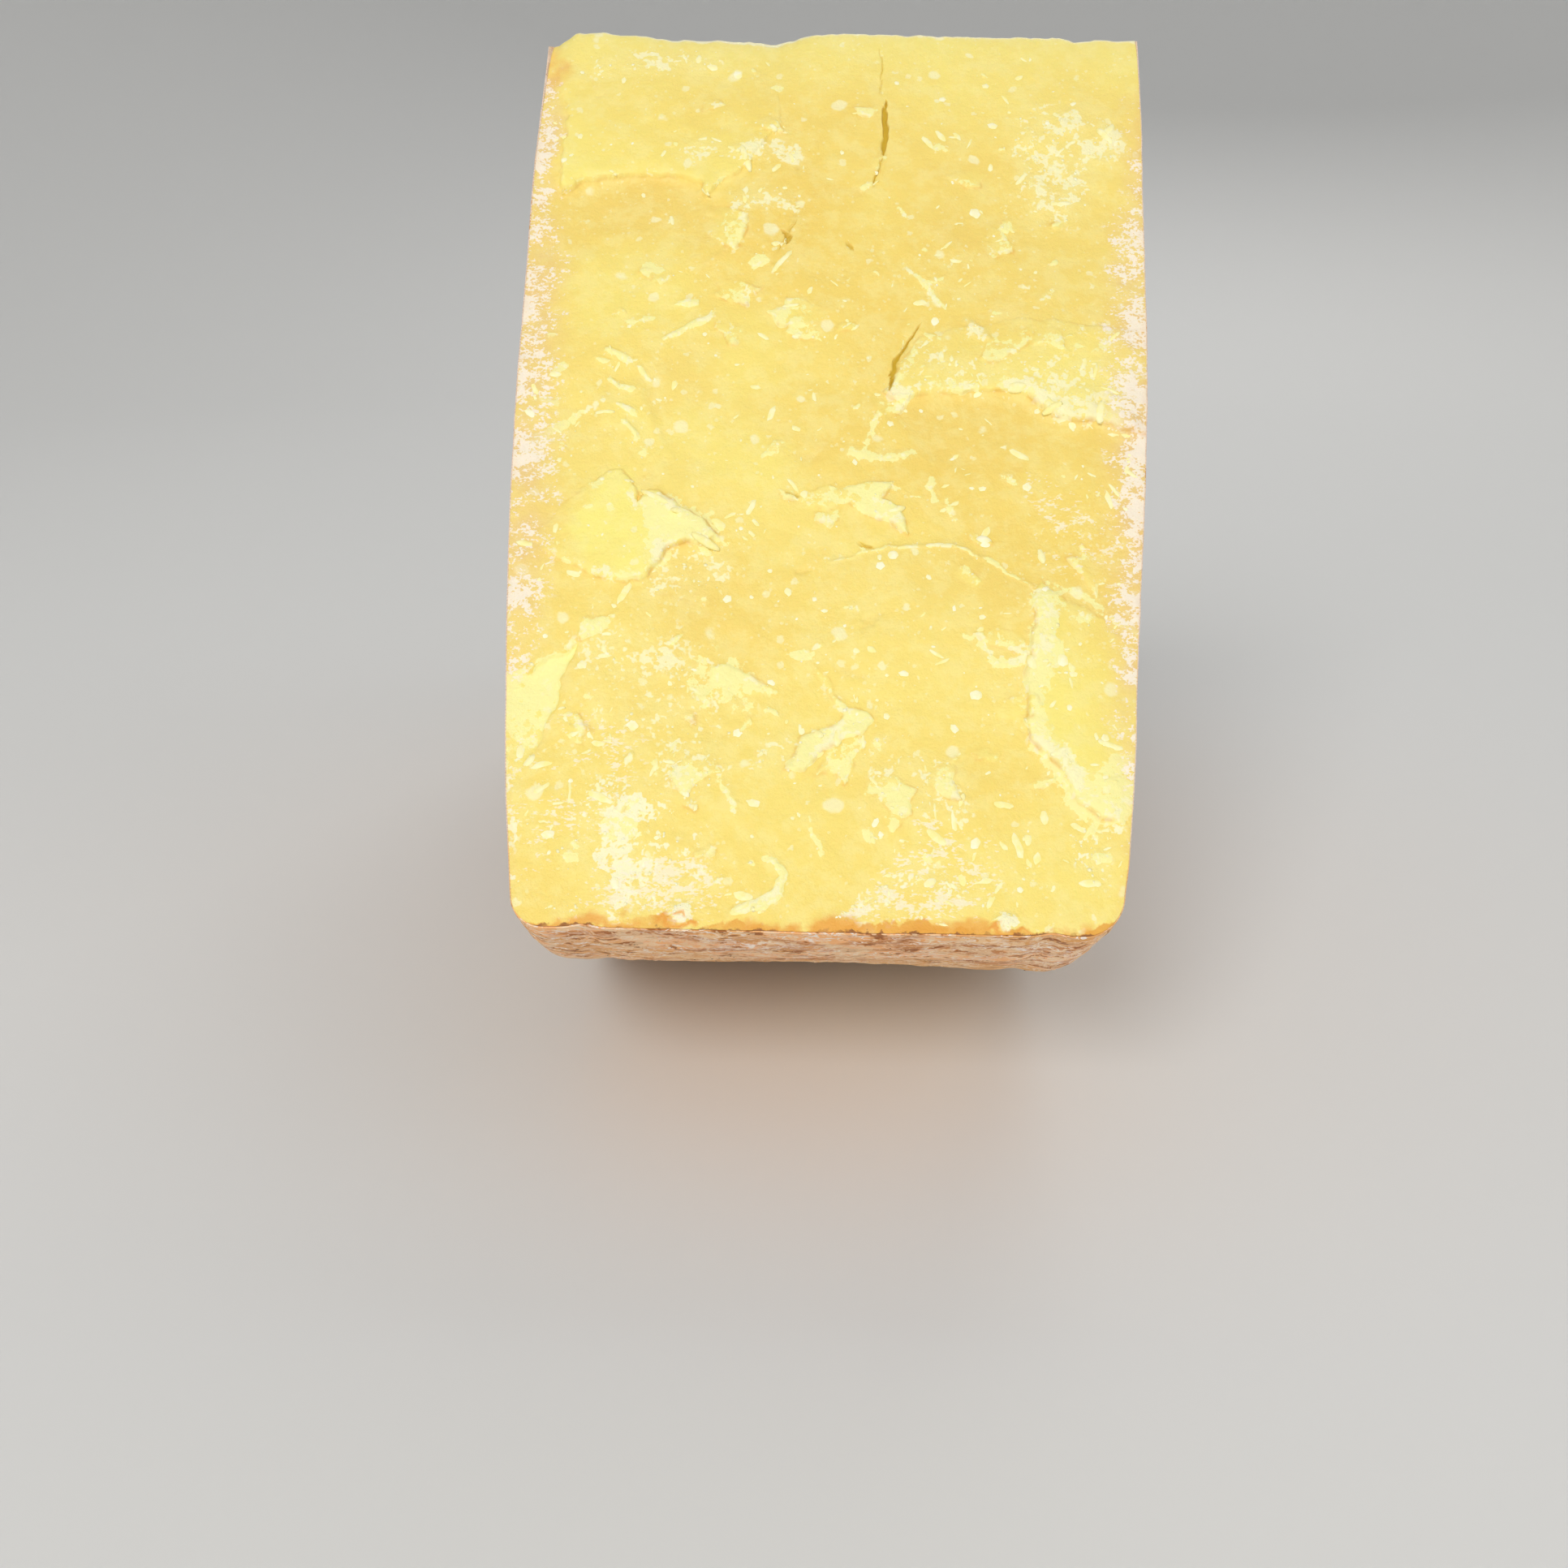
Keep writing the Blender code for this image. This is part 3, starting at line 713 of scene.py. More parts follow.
FRONT_MARKS = (
    # The plate at the upper left, which ends in a curved lower edge, and the hollow under that edge.
    plate(((-64, 14), (-60, 26), (-60, 38), (-60, 50), (-56, 47), (-50, 45.5), (-42, 44.5), (-33, 44.5),
           (-28, 47), (-27, 50), (-20, 44), (-10, 30), (-15, 12), (-40, 8)),
          1.9, ((-35, 14), (-40, 46)), 0.8, (0.3, 0.8)),
    # The hollow's amber is partly painted shade, strongest just under the plate's edge.
    hollow(((-66, 51), (-58, 47), (-38, 44), (-28, 48), (-22, 56), (-28, 66), (-45, 74), (-62, 68)),
           -1.2, ((-45, 74), (-42, 46)), 0.7),
    # A low ridge along the knob's edge, whose amber is a painted shadow line.
    Mark(((-27.4, 47.3), (-26.4, 51.2), (-27.1, 55.2), (-23.5, 55.6), (-19.3, 60.5), (-23.2, 66.6),
          (-28.4, 70.5)), 0.35, (), (0.3, 0.6, 0.5, 0.6, 0.9, 0.7, 0.2), 0.5, 0.6, ((Tint.AMBER, 0.5),)),
    # The long shelf on the right, and the hollow below it.
    plate(((12, 101), (15, 103.4), (22, 101.6), (30, 101), (40, 101), (43.5, 103), (47, 106), (52, 108.4),
           (60, 108.6), (66, 109.7), (74, 112), (74, 85), (40, 82), (20, 88)),
          1.7, ((35, 80), (38, 102)), 0.75, (0.7, 3.0)),
    # The hollow's amber is partly painted shade, strongest just under the shelf's edge.
    hollow(((12, 102), (22, 103), (40, 103), (51, 109), (60, 109), (74, 114), (74, 128), (50, 127),
            (20, 118)),
           -0.8, ((45, 127), (42, 104)), 0.6),
    # The shoulder on the left, below the middle of the upper part.
    # The hollow's amber is partly painted shade, strongest just under the ledge at its top.
    hollow(((-68, 115), (-64, 119), (-60, 114), (-55, 109), (-49, 103), (-47, 112), (-45, 119), (-55, 124),
            (-68, 122)),
           -0.9, ((-50, 124), (-56, 108)), 0.4),
    streak(((-65.7, 120.1), (-59.4, 113.1), (-52.9, 108.0), (-47.1, 103.8)), (1.6, 1.2, 0.7, 0.4), 0.6),
    # The bright flake that lifts towards the middle.
    plate(((-50, 126), (-46, 122), (-43, 122), (-39.5, 126), (-38.5, 129), (-37, 126), (-34, 126.5),
           (-30.5, 130.5), (-25, 134), (-22.5, 137), (-24.5, 140), (-28.5, 138.5), (-33, 140),
           (-37.5, 147.5), (-40.5, 149), (-46.5, 147), (-51, 144), (-57, 142), (-60, 137), (-55, 130)),
          2.0, ((-60, 132), (-34, 140)), 1.5, (0.85, 2.4)),
    # A very pale stain on the flake's right wing: painted light on the side of its ridge that faces the lamp.
    stain(((-39, 129), (-34, 127), (-25, 134), (-22.5, 137), (-24.5, 140), (-28.5, 138.5), (-33, 140),
           (-36, 143), (-37, 140), (-35, 134)), Tint.LEMON, 1.3, 3.6),
    stain(((-47, 124), (-42, 124), (-39, 131), (-42, 140), (-48, 141), (-53, 135)), Tint.FRESH, 2.0, 4.0),
    stain(((-37, 143), (-31, 140.5), (-22, 143), (-20, 149), (-28, 153), (-38, 151)), Tint.CREAM, 0.4, 2.0),
    # Two amber strokes under the flake's lower edge: painted shadow lines.
    Mark(((-37.5, 146), (-30, 148.4), (-22, 152)), -0.15, (), (0.25, 0.35, 0.2), 0.5, 0.5,
         ((Tint.AMBER, 1.2),)),
    Mark(((-35, 150), (-27, 152), (-19, 157)), -0.12, (), (0.2, 0.35, 0.2), 0.5, 0.5, ((Tint.AMBER, 1.1),)),
    # The fresh break at the lower left edge.
    Mark(((-68, 169), (-61, 168), (-58, 168), (-55, 165), (-50, 161.5), (-51.5, 168), (-53, 173.5),
          (-56, 183), (-62, 196), (-68, 198)),
         -1.5, ((-62, 197), (-54, 164)), tints=((Tint.FRESH, 1.5), (Tint.LEMON, 1.2), (Tint.CREAM, 0.12))),
    streak(((-66, 168), (-61, 168), (-55, 165), (-50, 161)), (0.6, 0.8, 0.6, 0.3), 0.6),
    # An amber stroke along the break's step: a painted shade line.
    Mark(((-49.8, 160), (-52, 170), (-56.3, 185.2)), 0.0, (), (0.5, 0.6, 0.3), 0.5, 0.5,
         ((Tint.AMBER, 0.9),)),
    scrap(((-49.7, 159.0), (-48.2, 155.8), (-44.1, 156.2), (-39.4, 152.9), (-44.8, 158.9), (-48.8, 160.8)),
          0.6, ((-44, 152), (-47, 160)), 0.5),
    # The broad flake at the lower right.
    plate(((44, 146.5), (48, 150), (53, 152), (58, 157), (61, 158), (68, 160), (66, 186), (57, 197.5),
           (52.5, 196.5), (49, 193), (47, 188.5), (43.5, 183), (40.5, 180), (40, 176), (39.5, 167),
           (41, 163), (41.5, 158), (42, 152)),
          1.6, ((68, 165), (42, 175)), 1.1, (0.85, 4.0)),
    stain(((43, 149), (47, 152), (47, 160), (44, 166), (42, 160)), Tint.LEMON, 1.0, 1.0),
    Mark(((45, 149), (43.6, 156), (42.6, 164), (41.6, 172), (42.6, 180), (45.6, 186), (50, 192), (55, 196)),
         0.2, (), (1.8, 2.2, 1.7, 1.5, 1.8, 2.6, 3.0, 2.0), 2.2, 1.4,
         ((Tint.LEMON, 1.15), (Tint.CREAM, 0.35))),
    stain(((50, 191), (56, 184), (62, 183), (61, 192), (56, 197)), Tint.LEMON, 0.8, 1.6),
    streak(((46.8, 149.0), (51.7, 148.4), (56.4, 153.4), (61.2, 156.0), (66, 158)),
           (0.4, 0.6, 0.6, 0.5, 0.4), 0.8),
    streak(((28.4, 159.3), (30.9, 158.8), (32, 161.5), (34, 164), (38, 164.5), (42, 161)),
           (0.5, 0.7, 0.6, 0.9, 0.9, 0.7), 0.75),
    # The small crest in the middle, the knuckle below it and the low dome to their right.
    Mark(((-6, 127), (0, 124.5), (4, 126), (9, 124), (14, 123.5), (12, 127.4), (15.5, 129.8), (17, 135.5),
          (13.3, 133.3), (8, 131), (4.9, 129.6), (-4, 130)),
         1.1, ((-6, 122), (10, 133)), tints=((Tint.FRESH, 1.1), (Tint.LEMON, 1.0), (Tint.CREAM, 0.2)),
         lip=(0.7, 1.0)),
    scrap(((-1.9, 131.3), (3.1, 130.3), (2.7, 132.6), (0.6, 134.1), (-1.9, 133.2)), 0.6,
          ((0, 129), (1, 134))),
    scrap(((-9.6, 125.2), (-6.2, 125.7), (-5.7, 128.0), (-8.3, 127.6)), 0.5, ((-8, 124), (-8, 128))),
    scrap(((-5.3, 163.9), (-2.8, 164.8), (0.4, 167.4), (2.1, 171.3), (4.9, 173.8), (8.5, 174.6), (9.7, 176.7),
           (7.3, 179.8), (3.3, 181.6), (-0.6, 184.6), (-3.8, 187.6), (-8.1, 187.5), (-5.0, 184.3),
           (-3.8, 180.8), (1.7, 178.2), (4.1, 175.5), (1.7, 172.1), (-0.8, 167.8), (-4.0, 165.7)),
          1.1, ((-3, 160), (3, 180)), 0.55),
    Mark(((-2, 150), (2, 142), (13.5, 138.5), (27, 138.5), (43, 148), (46, 160), (36, 174), (15, 176),
          (0, 166)),
         0.7, ((20, 176), (22, 139)), soft=1.6, tints=((Tint.AMBER, 0.35),)),
    # Pale scraps in the lower part.
    scrap(((-29.7, 189.8), (-27.8, 187.2), (-25.1, 184.6), (-22.8, 184.2), (-20.7, 186.2), (-19.5, 188.7),
           (-21.8, 189.6), (-24.1, 190.9), (-26.4, 193.4), (-28.4, 192.2)), 0.9, ((-24, 184), (-26, 192))),
    scrap(((8.4, 189.0), (10.4, 188.6), (14.0, 188.9), (15.9, 190.2), (18.2, 191.4), (17.0, 193.9),
           (17.4, 196.3), (15.1, 196.8), (12.7, 194.8), (10.4, 192.3), (7.7, 192.8)),
          0.9, ((10, 187), (15, 196))),
    scrap(((19.9, 188.0), (22.2, 186.7), (25.4, 185.5), (24.6, 188.7), (26.1, 192.9), (23.7, 192.5),
           (21.0, 190.5)), 0.8, ((20, 187), (25, 192))),
    scrap(((-22.6, 166.5), (-20.2, 165.5), (-13.7, 167.6), (-9.6, 171.5), (-12.8, 171.5), (-16.8, 171.6),
           (-19.9, 173.4), (-24.7, 176.1), (-25.9, 173.5), (-22.4, 171.7)),
          0.6, ((-18, 176), (-18, 166)), 0.35),
    scrap(((38.7, 190.2), (41, 188.6), (45.0, 188.4), (42, 190.6)), 0.5, ((40, 188), (42, 191))),
    # The shallow hollow left of the middle, and its curved edge on the left.
    # The hollow's amber is partly painted shade, strongest at its curved left edge.
    hollow(((-46, 100), (-40, 97), (-37, 110), (-35, 118), (-30, 124), (-15, 118), (-10, 100), (-25, 90)),
           -0.7, ((-12, 105), (-38, 112)), 0.5),
    Mark(((-40, 98), (-38.5, 105), (-36, 112), (-32, 119)), 0.3, (), (0.5, 0.9, 0.9, 0.4), 0.6, 0.5),
    # The cracks.
    crack(((12.3, 8), (12.4, 13), (11.6, 20)), (0.08, 0.16, 0.08), -0.3, 0.5),
    crack(((12.9, 23), (13.5, 27), (13.1, 31), (12.4, 35), (11.9, 38.5)), (0.14, 0.6, 0.75, 0.5, 0.14), -1.0),
    crack(((11.6, 39.5), (11.0, 43), (10.1, 47.5)), (0.14, 0.26, 0.12), -0.5, 0.8),
    crack(((20.2, 85), (17.5, 89), (15, 93.5), (13.6, 97), (13.1, 101)), (0.1, 0.22, 0.35, 0.6, 0.2), -0.8),
    crack(((-6.6, 41), (-7.0, 50), (-8.2, 58.6), (-9.7, 63), (-11.8, 68.8)),
          (0.08, 0.1, 0.14, 0.14, 0.08), -0.24, 0.35),
    crack(((-9.4, 60.4), (-8.3, 61.6), (-8.9, 63.6)), (0.4, 0.7, 0.3), -0.6, 0.8),
    crack(((-7.6, 58.5), (-9.0, 61.5), (-10.5, 65)), (0.12, 0.24, 0.1), -0.3, 0.6),
    crack(((4.6, 63.3), (5.4, 64.6)), (0.4, 0.4), -0.7, 0.7),
    crack(((-7.4, 126), (-5.8, 126.9)), (0.3, 0.45), -0.7, 0.6),
    crack(((7.7, 137.6), (9.4, 138.3)), (0.4, 0.3), -0.6, 0.6),
    # Bands and patches of whitish crumbs.
    crumbs(((-22, 36.3), (-14, 35.6), (-6.5, 36), (-6.2, 40.8), (-13, 39.5), (-22, 40.8)), 0.62),
    crumbs(((-21, 50), (-14, 49), (-8, 51), (-7.9, 55.3), (-15, 54), (-21, 56)), 0.55),
    crumbs(((-33, 36), (-28, 34), (-24, 38), (-27, 41), (-33, 40)), 0.4),
    crumbs(((-54.2, 11), (-46.6, 10), (-36.3, 8), (-24.9, 10), (-26, 13), (-40, 15), (-54, 15)), 0.45),
    crumbs(((53.1, 26.5), (57.9, 22.9), (60.5, 28.7), (53.8, 31.2)), 0.8, 0.3, 1.0),
    crumbs(((43.6, 32.0), (47.4, 27.8), (48.6, 33.6), (46.2, 36.0)), 0.7, 0.3, 1.0),
    crumbs(((55.6, 33.5), (61.1, 33.4), (61.8, 38.0), (57.1, 40.4)), 0.85, 0.3, 1.0),
    crumbs(((44.1, 44.1), (48.7, 42.8), (52.0, 50.7), (47.4, 53.0)), 0.75, 0.3, 1.0),
    crumbs(((51.1, 50.7), (54.3, 40.4), (56.8, 46.1), (55.5, 54.0)), 0.8, 0.3, 1.0),
    crumbs(((60.8, 40.3), (63.3, 27.5), (67.6, 32.0), (66.4, 37.9)), 0.65, 0.3, 1.0),
    crumbs(((44, 24), (52, 22), (62, 24), (66, 34), (61, 44), (58, 55), (50, 57), (42, 46), (42, 32)),
           0.42, 0.1, 3.0),
    crumbs(((29.6, 83), (32, 82), (35.3, 85), (34.5, 87.5), (31, 87)), 0.85, 0.4, 0.6),
    crumbs(((43, 99), (52, 101), (60, 101), (70, 103), (72, 112), (60, 109.5), (52, 109), (46, 106)),
           0.66, 0.3, 1.6),
    stain(((12, 101), (20, 92), (40, 90), (72, 96), (72, 110), (52, 108), (40, 101)), Tint.CREAM, 0.3, 4.0),
    crumbs(((-12, 182), (-6, 180), (-2, 184), (-8, 189), (-13, 187)), 0.5),
    crumbs(((9, 186), (18, 184), (28, 186), (27, 197), (17, 198), (8, 195)), 0.42),
    crumbs(((-32, 184), (-24, 181), (-18, 187), (-23, 193), (-31, 194)), 0.42),
    crumbs(((-33, 162.2), (-30, 162.2), (-27.6, 162.1), (-29.7, 169.2), (-33, 167.5)), 0.6, 0.3, 1.0),
    crumbs(((-64, 120), (-60, 114.5), (-56, 110), (-53, 110.5), (-57, 117), (-62, 122)), 0.45),
    # Ridges, scrapes and small strips.
    streak(((17.4, 69), (21.9, 73.5), (23.6, 76.5), (25.6, 80)), (0.3, 0.6, 0.5, 0.3), 0.8),
    streak(((21.9, 73.5), (26.2, 71.9)), (0.5, 0.3), 0.7),
    streak(((11.4, 107), (9.6, 112.2), (7.5, 117.2)), (0.7, 0.7, 0.5), 0.7),
    streak(((5.5, 116.4), (8.5, 118), (12.5, 117.5), (18.5, 116.2)), (0.9, 1.1, 0.8, 0.6), 0.7),
    streak(((-47.7, 92.6), (-42.2, 94.5)), (0.5, 0.9), 0.85, 0.4),
    streak(((-46.0, 99.3), (-40.6, 101.9)), (0.5, 0.9), 0.85, 0.4),
    streak(((-43.9, 105.6), (-40.7, 107.5)), (0.4, 0.8), 0.85, 0.4),
    streak(((-42.8, 109.7), (-40.1, 113.1)), (0.6, 0.5), 0.85, 0.4),
    streak(((-39.5, 96.1), (-37.1, 99.8)), (0.6, 0.4), 0.85, 0.4),
    streak(((-34.5, 89), (-31.5, 87), (-28, 84.6), (-25, 82.5)), (0.5, 0.8, 0.8, 0.4), 0.85, 0.4),
    streak(((-49.4, 94.6), (-46.8, 95.6)), (0.4, 0.6), 0.8, 0.4),
    streak(((-44, 85), (-38, 84.4)), (0.4, 0.5), 0.7),
    streak(((2, 142), (7.5, 139.7), (13.5, 138.5), (27, 138.5), (35, 142.2), (43, 148)),
           (0.3, 0.4, 0.5, 0.5, 0.4, 0.2), 0.5, 0.3),
    streak(((10, 126), (14, 125), (20, 127)), (0.4, 0.5, 0.3), 0.75),
    streak(((21.5, 123), (22.4, 127)), (0.5, 0.7), 0.75),
    streak(((24.6, 127), (27.4, 132)), (0.4, 0.5), 0.75),
    streak(((-32.6, 184.8), (-32.8, 187), (-32.1, 189.0)), (0.3, 0.45, 0.3), 0.8),
    streak(((-19.9, 189.6), (-18.2, 192.9), (-17.3, 196.2)), (0.3, 0.5, 0.4), 0.8),
    streak(((-2.1, 197.5), (-1.6, 201), (-0.5, 204.8)), (0.3, 0.5, 0.5), 0.75),
    streak(((-8.9, 206.2), (-7.0, 209), (-8.4, 212.5), (-11.5, 214.6), (-16.4, 216.4)),
           (0.6, 0.9, 1.1, 1.3, 0.9), 0.85, 0.35),
    streak(((49.9, 200.6), (51.7, 197.3), (52.3, 199.8)), (0.4, 0.7, 0.5), 0.8),
    streak(((52.5, 204.4), (55, 204.6)), (0.9, 0.7), 0.85),
    # White powder near the rim, and the rind's bloom along both sides.
    stain(((-43.2, 200), (-39.7, 192.3), (-36.5, 194), (-28, 194.8), (-31.6, 199), (-36, 202.5),
           (-41, 203.4)), Tint.POWDER, 0.46, 1.6),
    stain(((-42, 199), (-38, 195), (-31, 195.5), (-34, 200), (-39, 202)), Tint.LEMON, 1.0, 1.4),
    stain(((-43.5, 216), (-39.5, 210.5), (-31.3, 205.4), (-27, 209), (-27.5, 216), (-32.4, 218),
           (-41.5, 218)), Tint.POWDER, 0.42, 2.4),
    stain(((-42, 202.5), (-36, 202.5), (-36, 208), (-42, 209)), Tint.POWDER, 0.4, 1.4),
    stain(((-46, 190), (-30, 189), (-22, 200), (-24, 219), (-46, 219), (-49, 205)), Tint.POWDER, 0.26, 4.0),
    stain(((-45, 218), (-42, 208), (-32, 203), (-22, 206), (-18, 214), (-20, 219)), Tint.HAZE, 0.85, 3.0),
    stain(((4, 219), (10, 206), (20, 199), (32, 200), (36, 210), (28, 216), (16, 219)), Tint.HAZE, 0.75, 3.5),
    stain(((5, 218), (9.5, 213.4), (14.9, 210.1), (19.6, 206.0), (25.7, 208.3), (27.9, 211.5), (22.5, 214),
           (14.9, 215), (11.8, 218)),
          Tint.POWDER, 0.42, 2.6),
    stain(((4, 217), (8, 212.5), (12, 211.5), (13, 215), (9, 218)), Tint.POWDER, 0.6, 1.0),
    stain(((48, 200), (56, 199), (55, 209), (49, 209)), Tint.POWDER, 0.4, 3.0),
    stain(((-68, 178), (-60, 182), (-58, 200), (-60, 214), (-68, 214)), Tint.POWDER, 0.4, 3.0),
    stain(((-26, 165), (-15, 165), (-14, 174), (-25, 174)), Tint.LEMON, 0.85, 3.5),
    stain(((40, 120), (58, 122), (64, 150), (56, 152), (44, 142)), Tint.HAZE, 0.35, 6.0),
    stain(((-62, 182), (-50, 176), (-34, 182), (-40, 200), (-60, 212)), Tint.HAZE, 0.3, 6.0),
    stain(((-70, 14), (-64, 16), (-61, 28), (-61, 50), (-70, 56)), Tint.BLOOM, 1.0, 1.6),
    stain(((-76, 50), (-62, 56), (-54, 75), (-53, 110), (-55, 140), (-56, 162), (-76, 172)),
          Tint.BLOOM, 0.92, 8.0),
    stain(((82, 20), (71, 26), (69, 50), (61, 66), (58, 90), (57, 120), (57, 148), (63, 200), (82, 208)),
          Tint.BLOOM, 1.2, 8.0),
    stain(((-64, 9), (-61.8, 14.5), (-63.6, 18), (-67, 14)), Tint.RUST_AND_SHADE, 0.5, 2.6),
    # Knots and stains where the paste meets the rim.
    Mark(((-29.8, 216.4), (-28.4, 214.9), (-26, 215), (-24.8, 216.8), (-26, 218.4), (-28.6, 218.6)),
         1.2, (), (), 0.5, 0.6, ((Tint.POWDER, 1.3),)),
    Mark(((-31.4, 218.4), (-30.4, 216.8), (-29.8, 218.8), (-27.4, 219.3), (-25, 218.6), (-23.6, 219.4)),
         0.3, (), (0.25, 0.35, 0.5, 0.5, 0.35, 0.3), 0.3, 0.6, ((Tint.RUST_AND_SHADE, 1.0),)),
    Mark(((-27.8, 216.8), (-26.4, 216.4), (-26, 217.4)), -0.3, (), (0.2, 0.25, 0.15), 0.3, 0.3,
         ((Tint.RUST_AND_SHADE, 0.9),)),
    Mark(((32.6, 216.8), (34, 215.4), (36, 215.8), (36.6, 217.6), (35, 218.8), (33.2, 218.6)),
         1.1, (), (), 0.5, 0.6, ((Tint.POWDER, 1.2),)),
    Mark(((31, 218.8), (32.4, 217.4), (33, 219.2), (35.4, 219.6), (37.4, 218.4), (39, 219.4)), 0.3, (),
         (0.3, 0.35, 0.5, 0.5, 0.4, 0.3), 0.3, 0.6, ((Tint.RUST_AND_SHADE, 1.0),)),
    Mark(((-3, 219), (1, 216.8), (6, 217), (9, 219), (6, 221), (-2, 221)), 0.7, (), (), 0.8, 0.7,
         ((Tint.RUST_AND_SHADE, 0.8),)),
    stain(((12, 221), (15, 218.6), (22, 217.6), (30, 218), (33, 220), (24, 222)), Tint.RUST_AND_SHADE, 0.75, 0.9),
    stain(((-60, 221), (-48, 218.8), (-36, 219.2), (-34, 222), (-48, 222)), Tint.RUST_AND_SHADE, 0.8, 0.7),
    stain(((-20, 222), (-12, 219), (-6, 219.6), (-6, 222)), Tint.RUST_AND_SHADE, 0.8, 0.7),
    stain(((40, 222), (48, 218.8), (58, 217.6), (60, 221)), Tint.RUST_AND_SHADE, 0.8, 0.7),
    # Slow changes of tone.
    stain(((-57.3, 66.3), (-35.8, 65.8), (-26.5, 75.3), (-27.8, 87.0), (-48.7, 91.6), (-57.9, 83.4)),
          Tint.FRESH, 0.5, 7.0),
    stain(((-41.6, 109.7), (-18.5, 107.3), (-4.6, 116.9), (-9.6, 125.7), (-24.8, 124.1), (-35.3, 117.5)),
          Tint.FRESH, 0.45, 6.0),
    stain(((-22.8, 80.6), (-10.3, 82.4), (-8.3, 101.0), (-18.6, 104.2), (-24.1, 93.1)), Tint.FRESH, 0.4, 6.0),
    stain(((26.0, 29.5), (67.6, 49.2), (67.6, 78.7), (58.3, 87.3), (33.7, 85.7), (20.9, 58.0)),
          Tint.AMBER, 0.35, 9.0),
    stain(((-35.8, 141.4), (-9.2, 147.3), (-4.1, 161.7), (-13.6, 168.9), (-31.6, 162.2)),
          Tint.AMBER, 0.2, 6.0),
    stain(((-52, 160), (-30, 158), (-12, 170), (-22, 184), (-44, 182)), Tint.CREAM, 0.24, 6.0),
    stain(((-48, 176), (-14, 178), (10, 198), (42, 196), (54, 212), (-20, 214), (-50, 208)),
          Tint.FRESH, 0.25, 9.0),
)


BACK_MARKS = (
    stain(((-80, 10), (-70, 16), (-65, 40), (-58, 80), (-55, 130), (-59, 200), (-80, 210)),
          Tint.BLOOM, 0.9, 8.0),
    stain(((80, 30), (69, 36), (62, 60), (55, 96), (54, 150), (58, 190), (80, 205)), Tint.BLOOM, 0.9, 8.0),
    stain(((-30, 219), (-26, 207), (-12, 201), (2, 206), (8, 219)), Tint.POWDER, 0.44, 2.6),
    stain(((-40, 219), (-34, 203), (-10, 196), (12, 202), (18, 219)), Tint.HAZE, 0.75, 3.5),
    stain(((26, 219), (34, 210), (46, 208), (50, 219)), Tint.HAZE, 0.75, 3.0),
    crumbs(((20, 60), (27, 57), (31, 66), (25, 74), (18, 70)), 0.6, 0.3, 1.2),
    crumbs(((-36, 150), (-28, 147), (-22, 154), (-29, 160)), 0.6, 0.3, 1.2),
    crumbs(((8, 176), (18, 172), (24, 178), (16, 184)), 0.55, 0.3, 1.2),
    stain(((-50, 221), (-36, 218.6), (-20, 219.4), (-18, 222), (-40, 222)), Tint.RUST_AND_SHADE, 0.8, 0.7),
    stain(((10, 222), (22, 218.8), (36, 219.2), (34, 222)), Tint.RUST_AND_SHADE, 0.8, 0.7),
)


# The paste and the rind


def hex_grid(low: np.ndarray, high: np.ndarray, spacing: float, jitter: float, seed: int) -> np.ndarray:
    """Points in staggered rows, each moved a little.

    Args:
        low: The lowest corner of the area.
        high: The highest corner.
        spacing: The distance between neighbours.
        jitter: The most that a point moves, as a share of the spacing.
        seed: Picks the moves.

    Returns:
        Rows of two coordinates.
    """
    random = np.random.default_rng(seed)
    rise = spacing * math.sqrt(3) / 2
    column, row = np.meshgrid(np.arange(low[0], high[0], spacing), np.arange(low[1], high[1], rise))
    column = column + (np.arange(len(column)) % 2)[:, None] * spacing / 2
    grid = np.column_stack([column.ravel(), row.ravel()])
    return grid + random.uniform(-jitter, jitter, grid.shape) * spacing


def thin_out(points: np.ndarray, cell: float) -> np.ndarray:
    """The points with one kept in every cell."""
    _, first = np.unique(np.round(points / cell).astype(np.int64), axis=0, return_index=True)
    return points[np.sort(first)]


def away_from(points: np.ndarray, others: np.ndarray, cell: float) -> np.ndarray:
    """Drops the points that come near others.

    Args:
        points: Rows of two coordinates.
        others: Rows of those to keep away from.
        cell: The size of the cells that are compared.

    Returns:
        The points with none of the others in their own or a neighbouring cell.
    """
    if not len(others):
        return points
    offset = np.floor(np.minimum(points.min(0), others.min(0)) / cell).astype(np.int64) - 2
    taken_cells = np.floor(others / cell).astype(np.int64) - offset
    own_cells = np.floor(points / cell).astype(np.int64) - offset
    taken = np.zeros(np.maximum(taken_cells.max(0), own_cells.max(0)) + 3, bool)
    for across, along in np.ndindex(3, 3):
        taken[taken_cells[:, 0] + across - 1, taken_cells[:, 1] + along - 1] = True
    return points[~taken[own_cells[:, 0], own_cells[:, 1]]]


def fill_outline(border: np.ndarray, inner: np.ndarray) -> tuple:
    """Triangles over a closed border and the points inside it.

    Args:
        border: The border's points in order, in millimetres.
        inner: The points inside.

    Returns:
        All points with the border's first, and rows of three point numbers.
    """
    points = np.concatenate([border, inner])
    count = len(border)
    edges = [(k, (k + 1) % count) for k in range(count)]
    result = delaunay_2d_cdt([Vector(p) for p in points], edges, [], 1, 1e-7)
    number = np.full(len(result[0]), -1)
    for new, old in enumerate(result[3]):
        number[new] = old[0] if old else -1
    faces = number[np.array([face for face in result[2] if len(face) == 3])]
    return points, faces[(faces >= 0).all(1)]


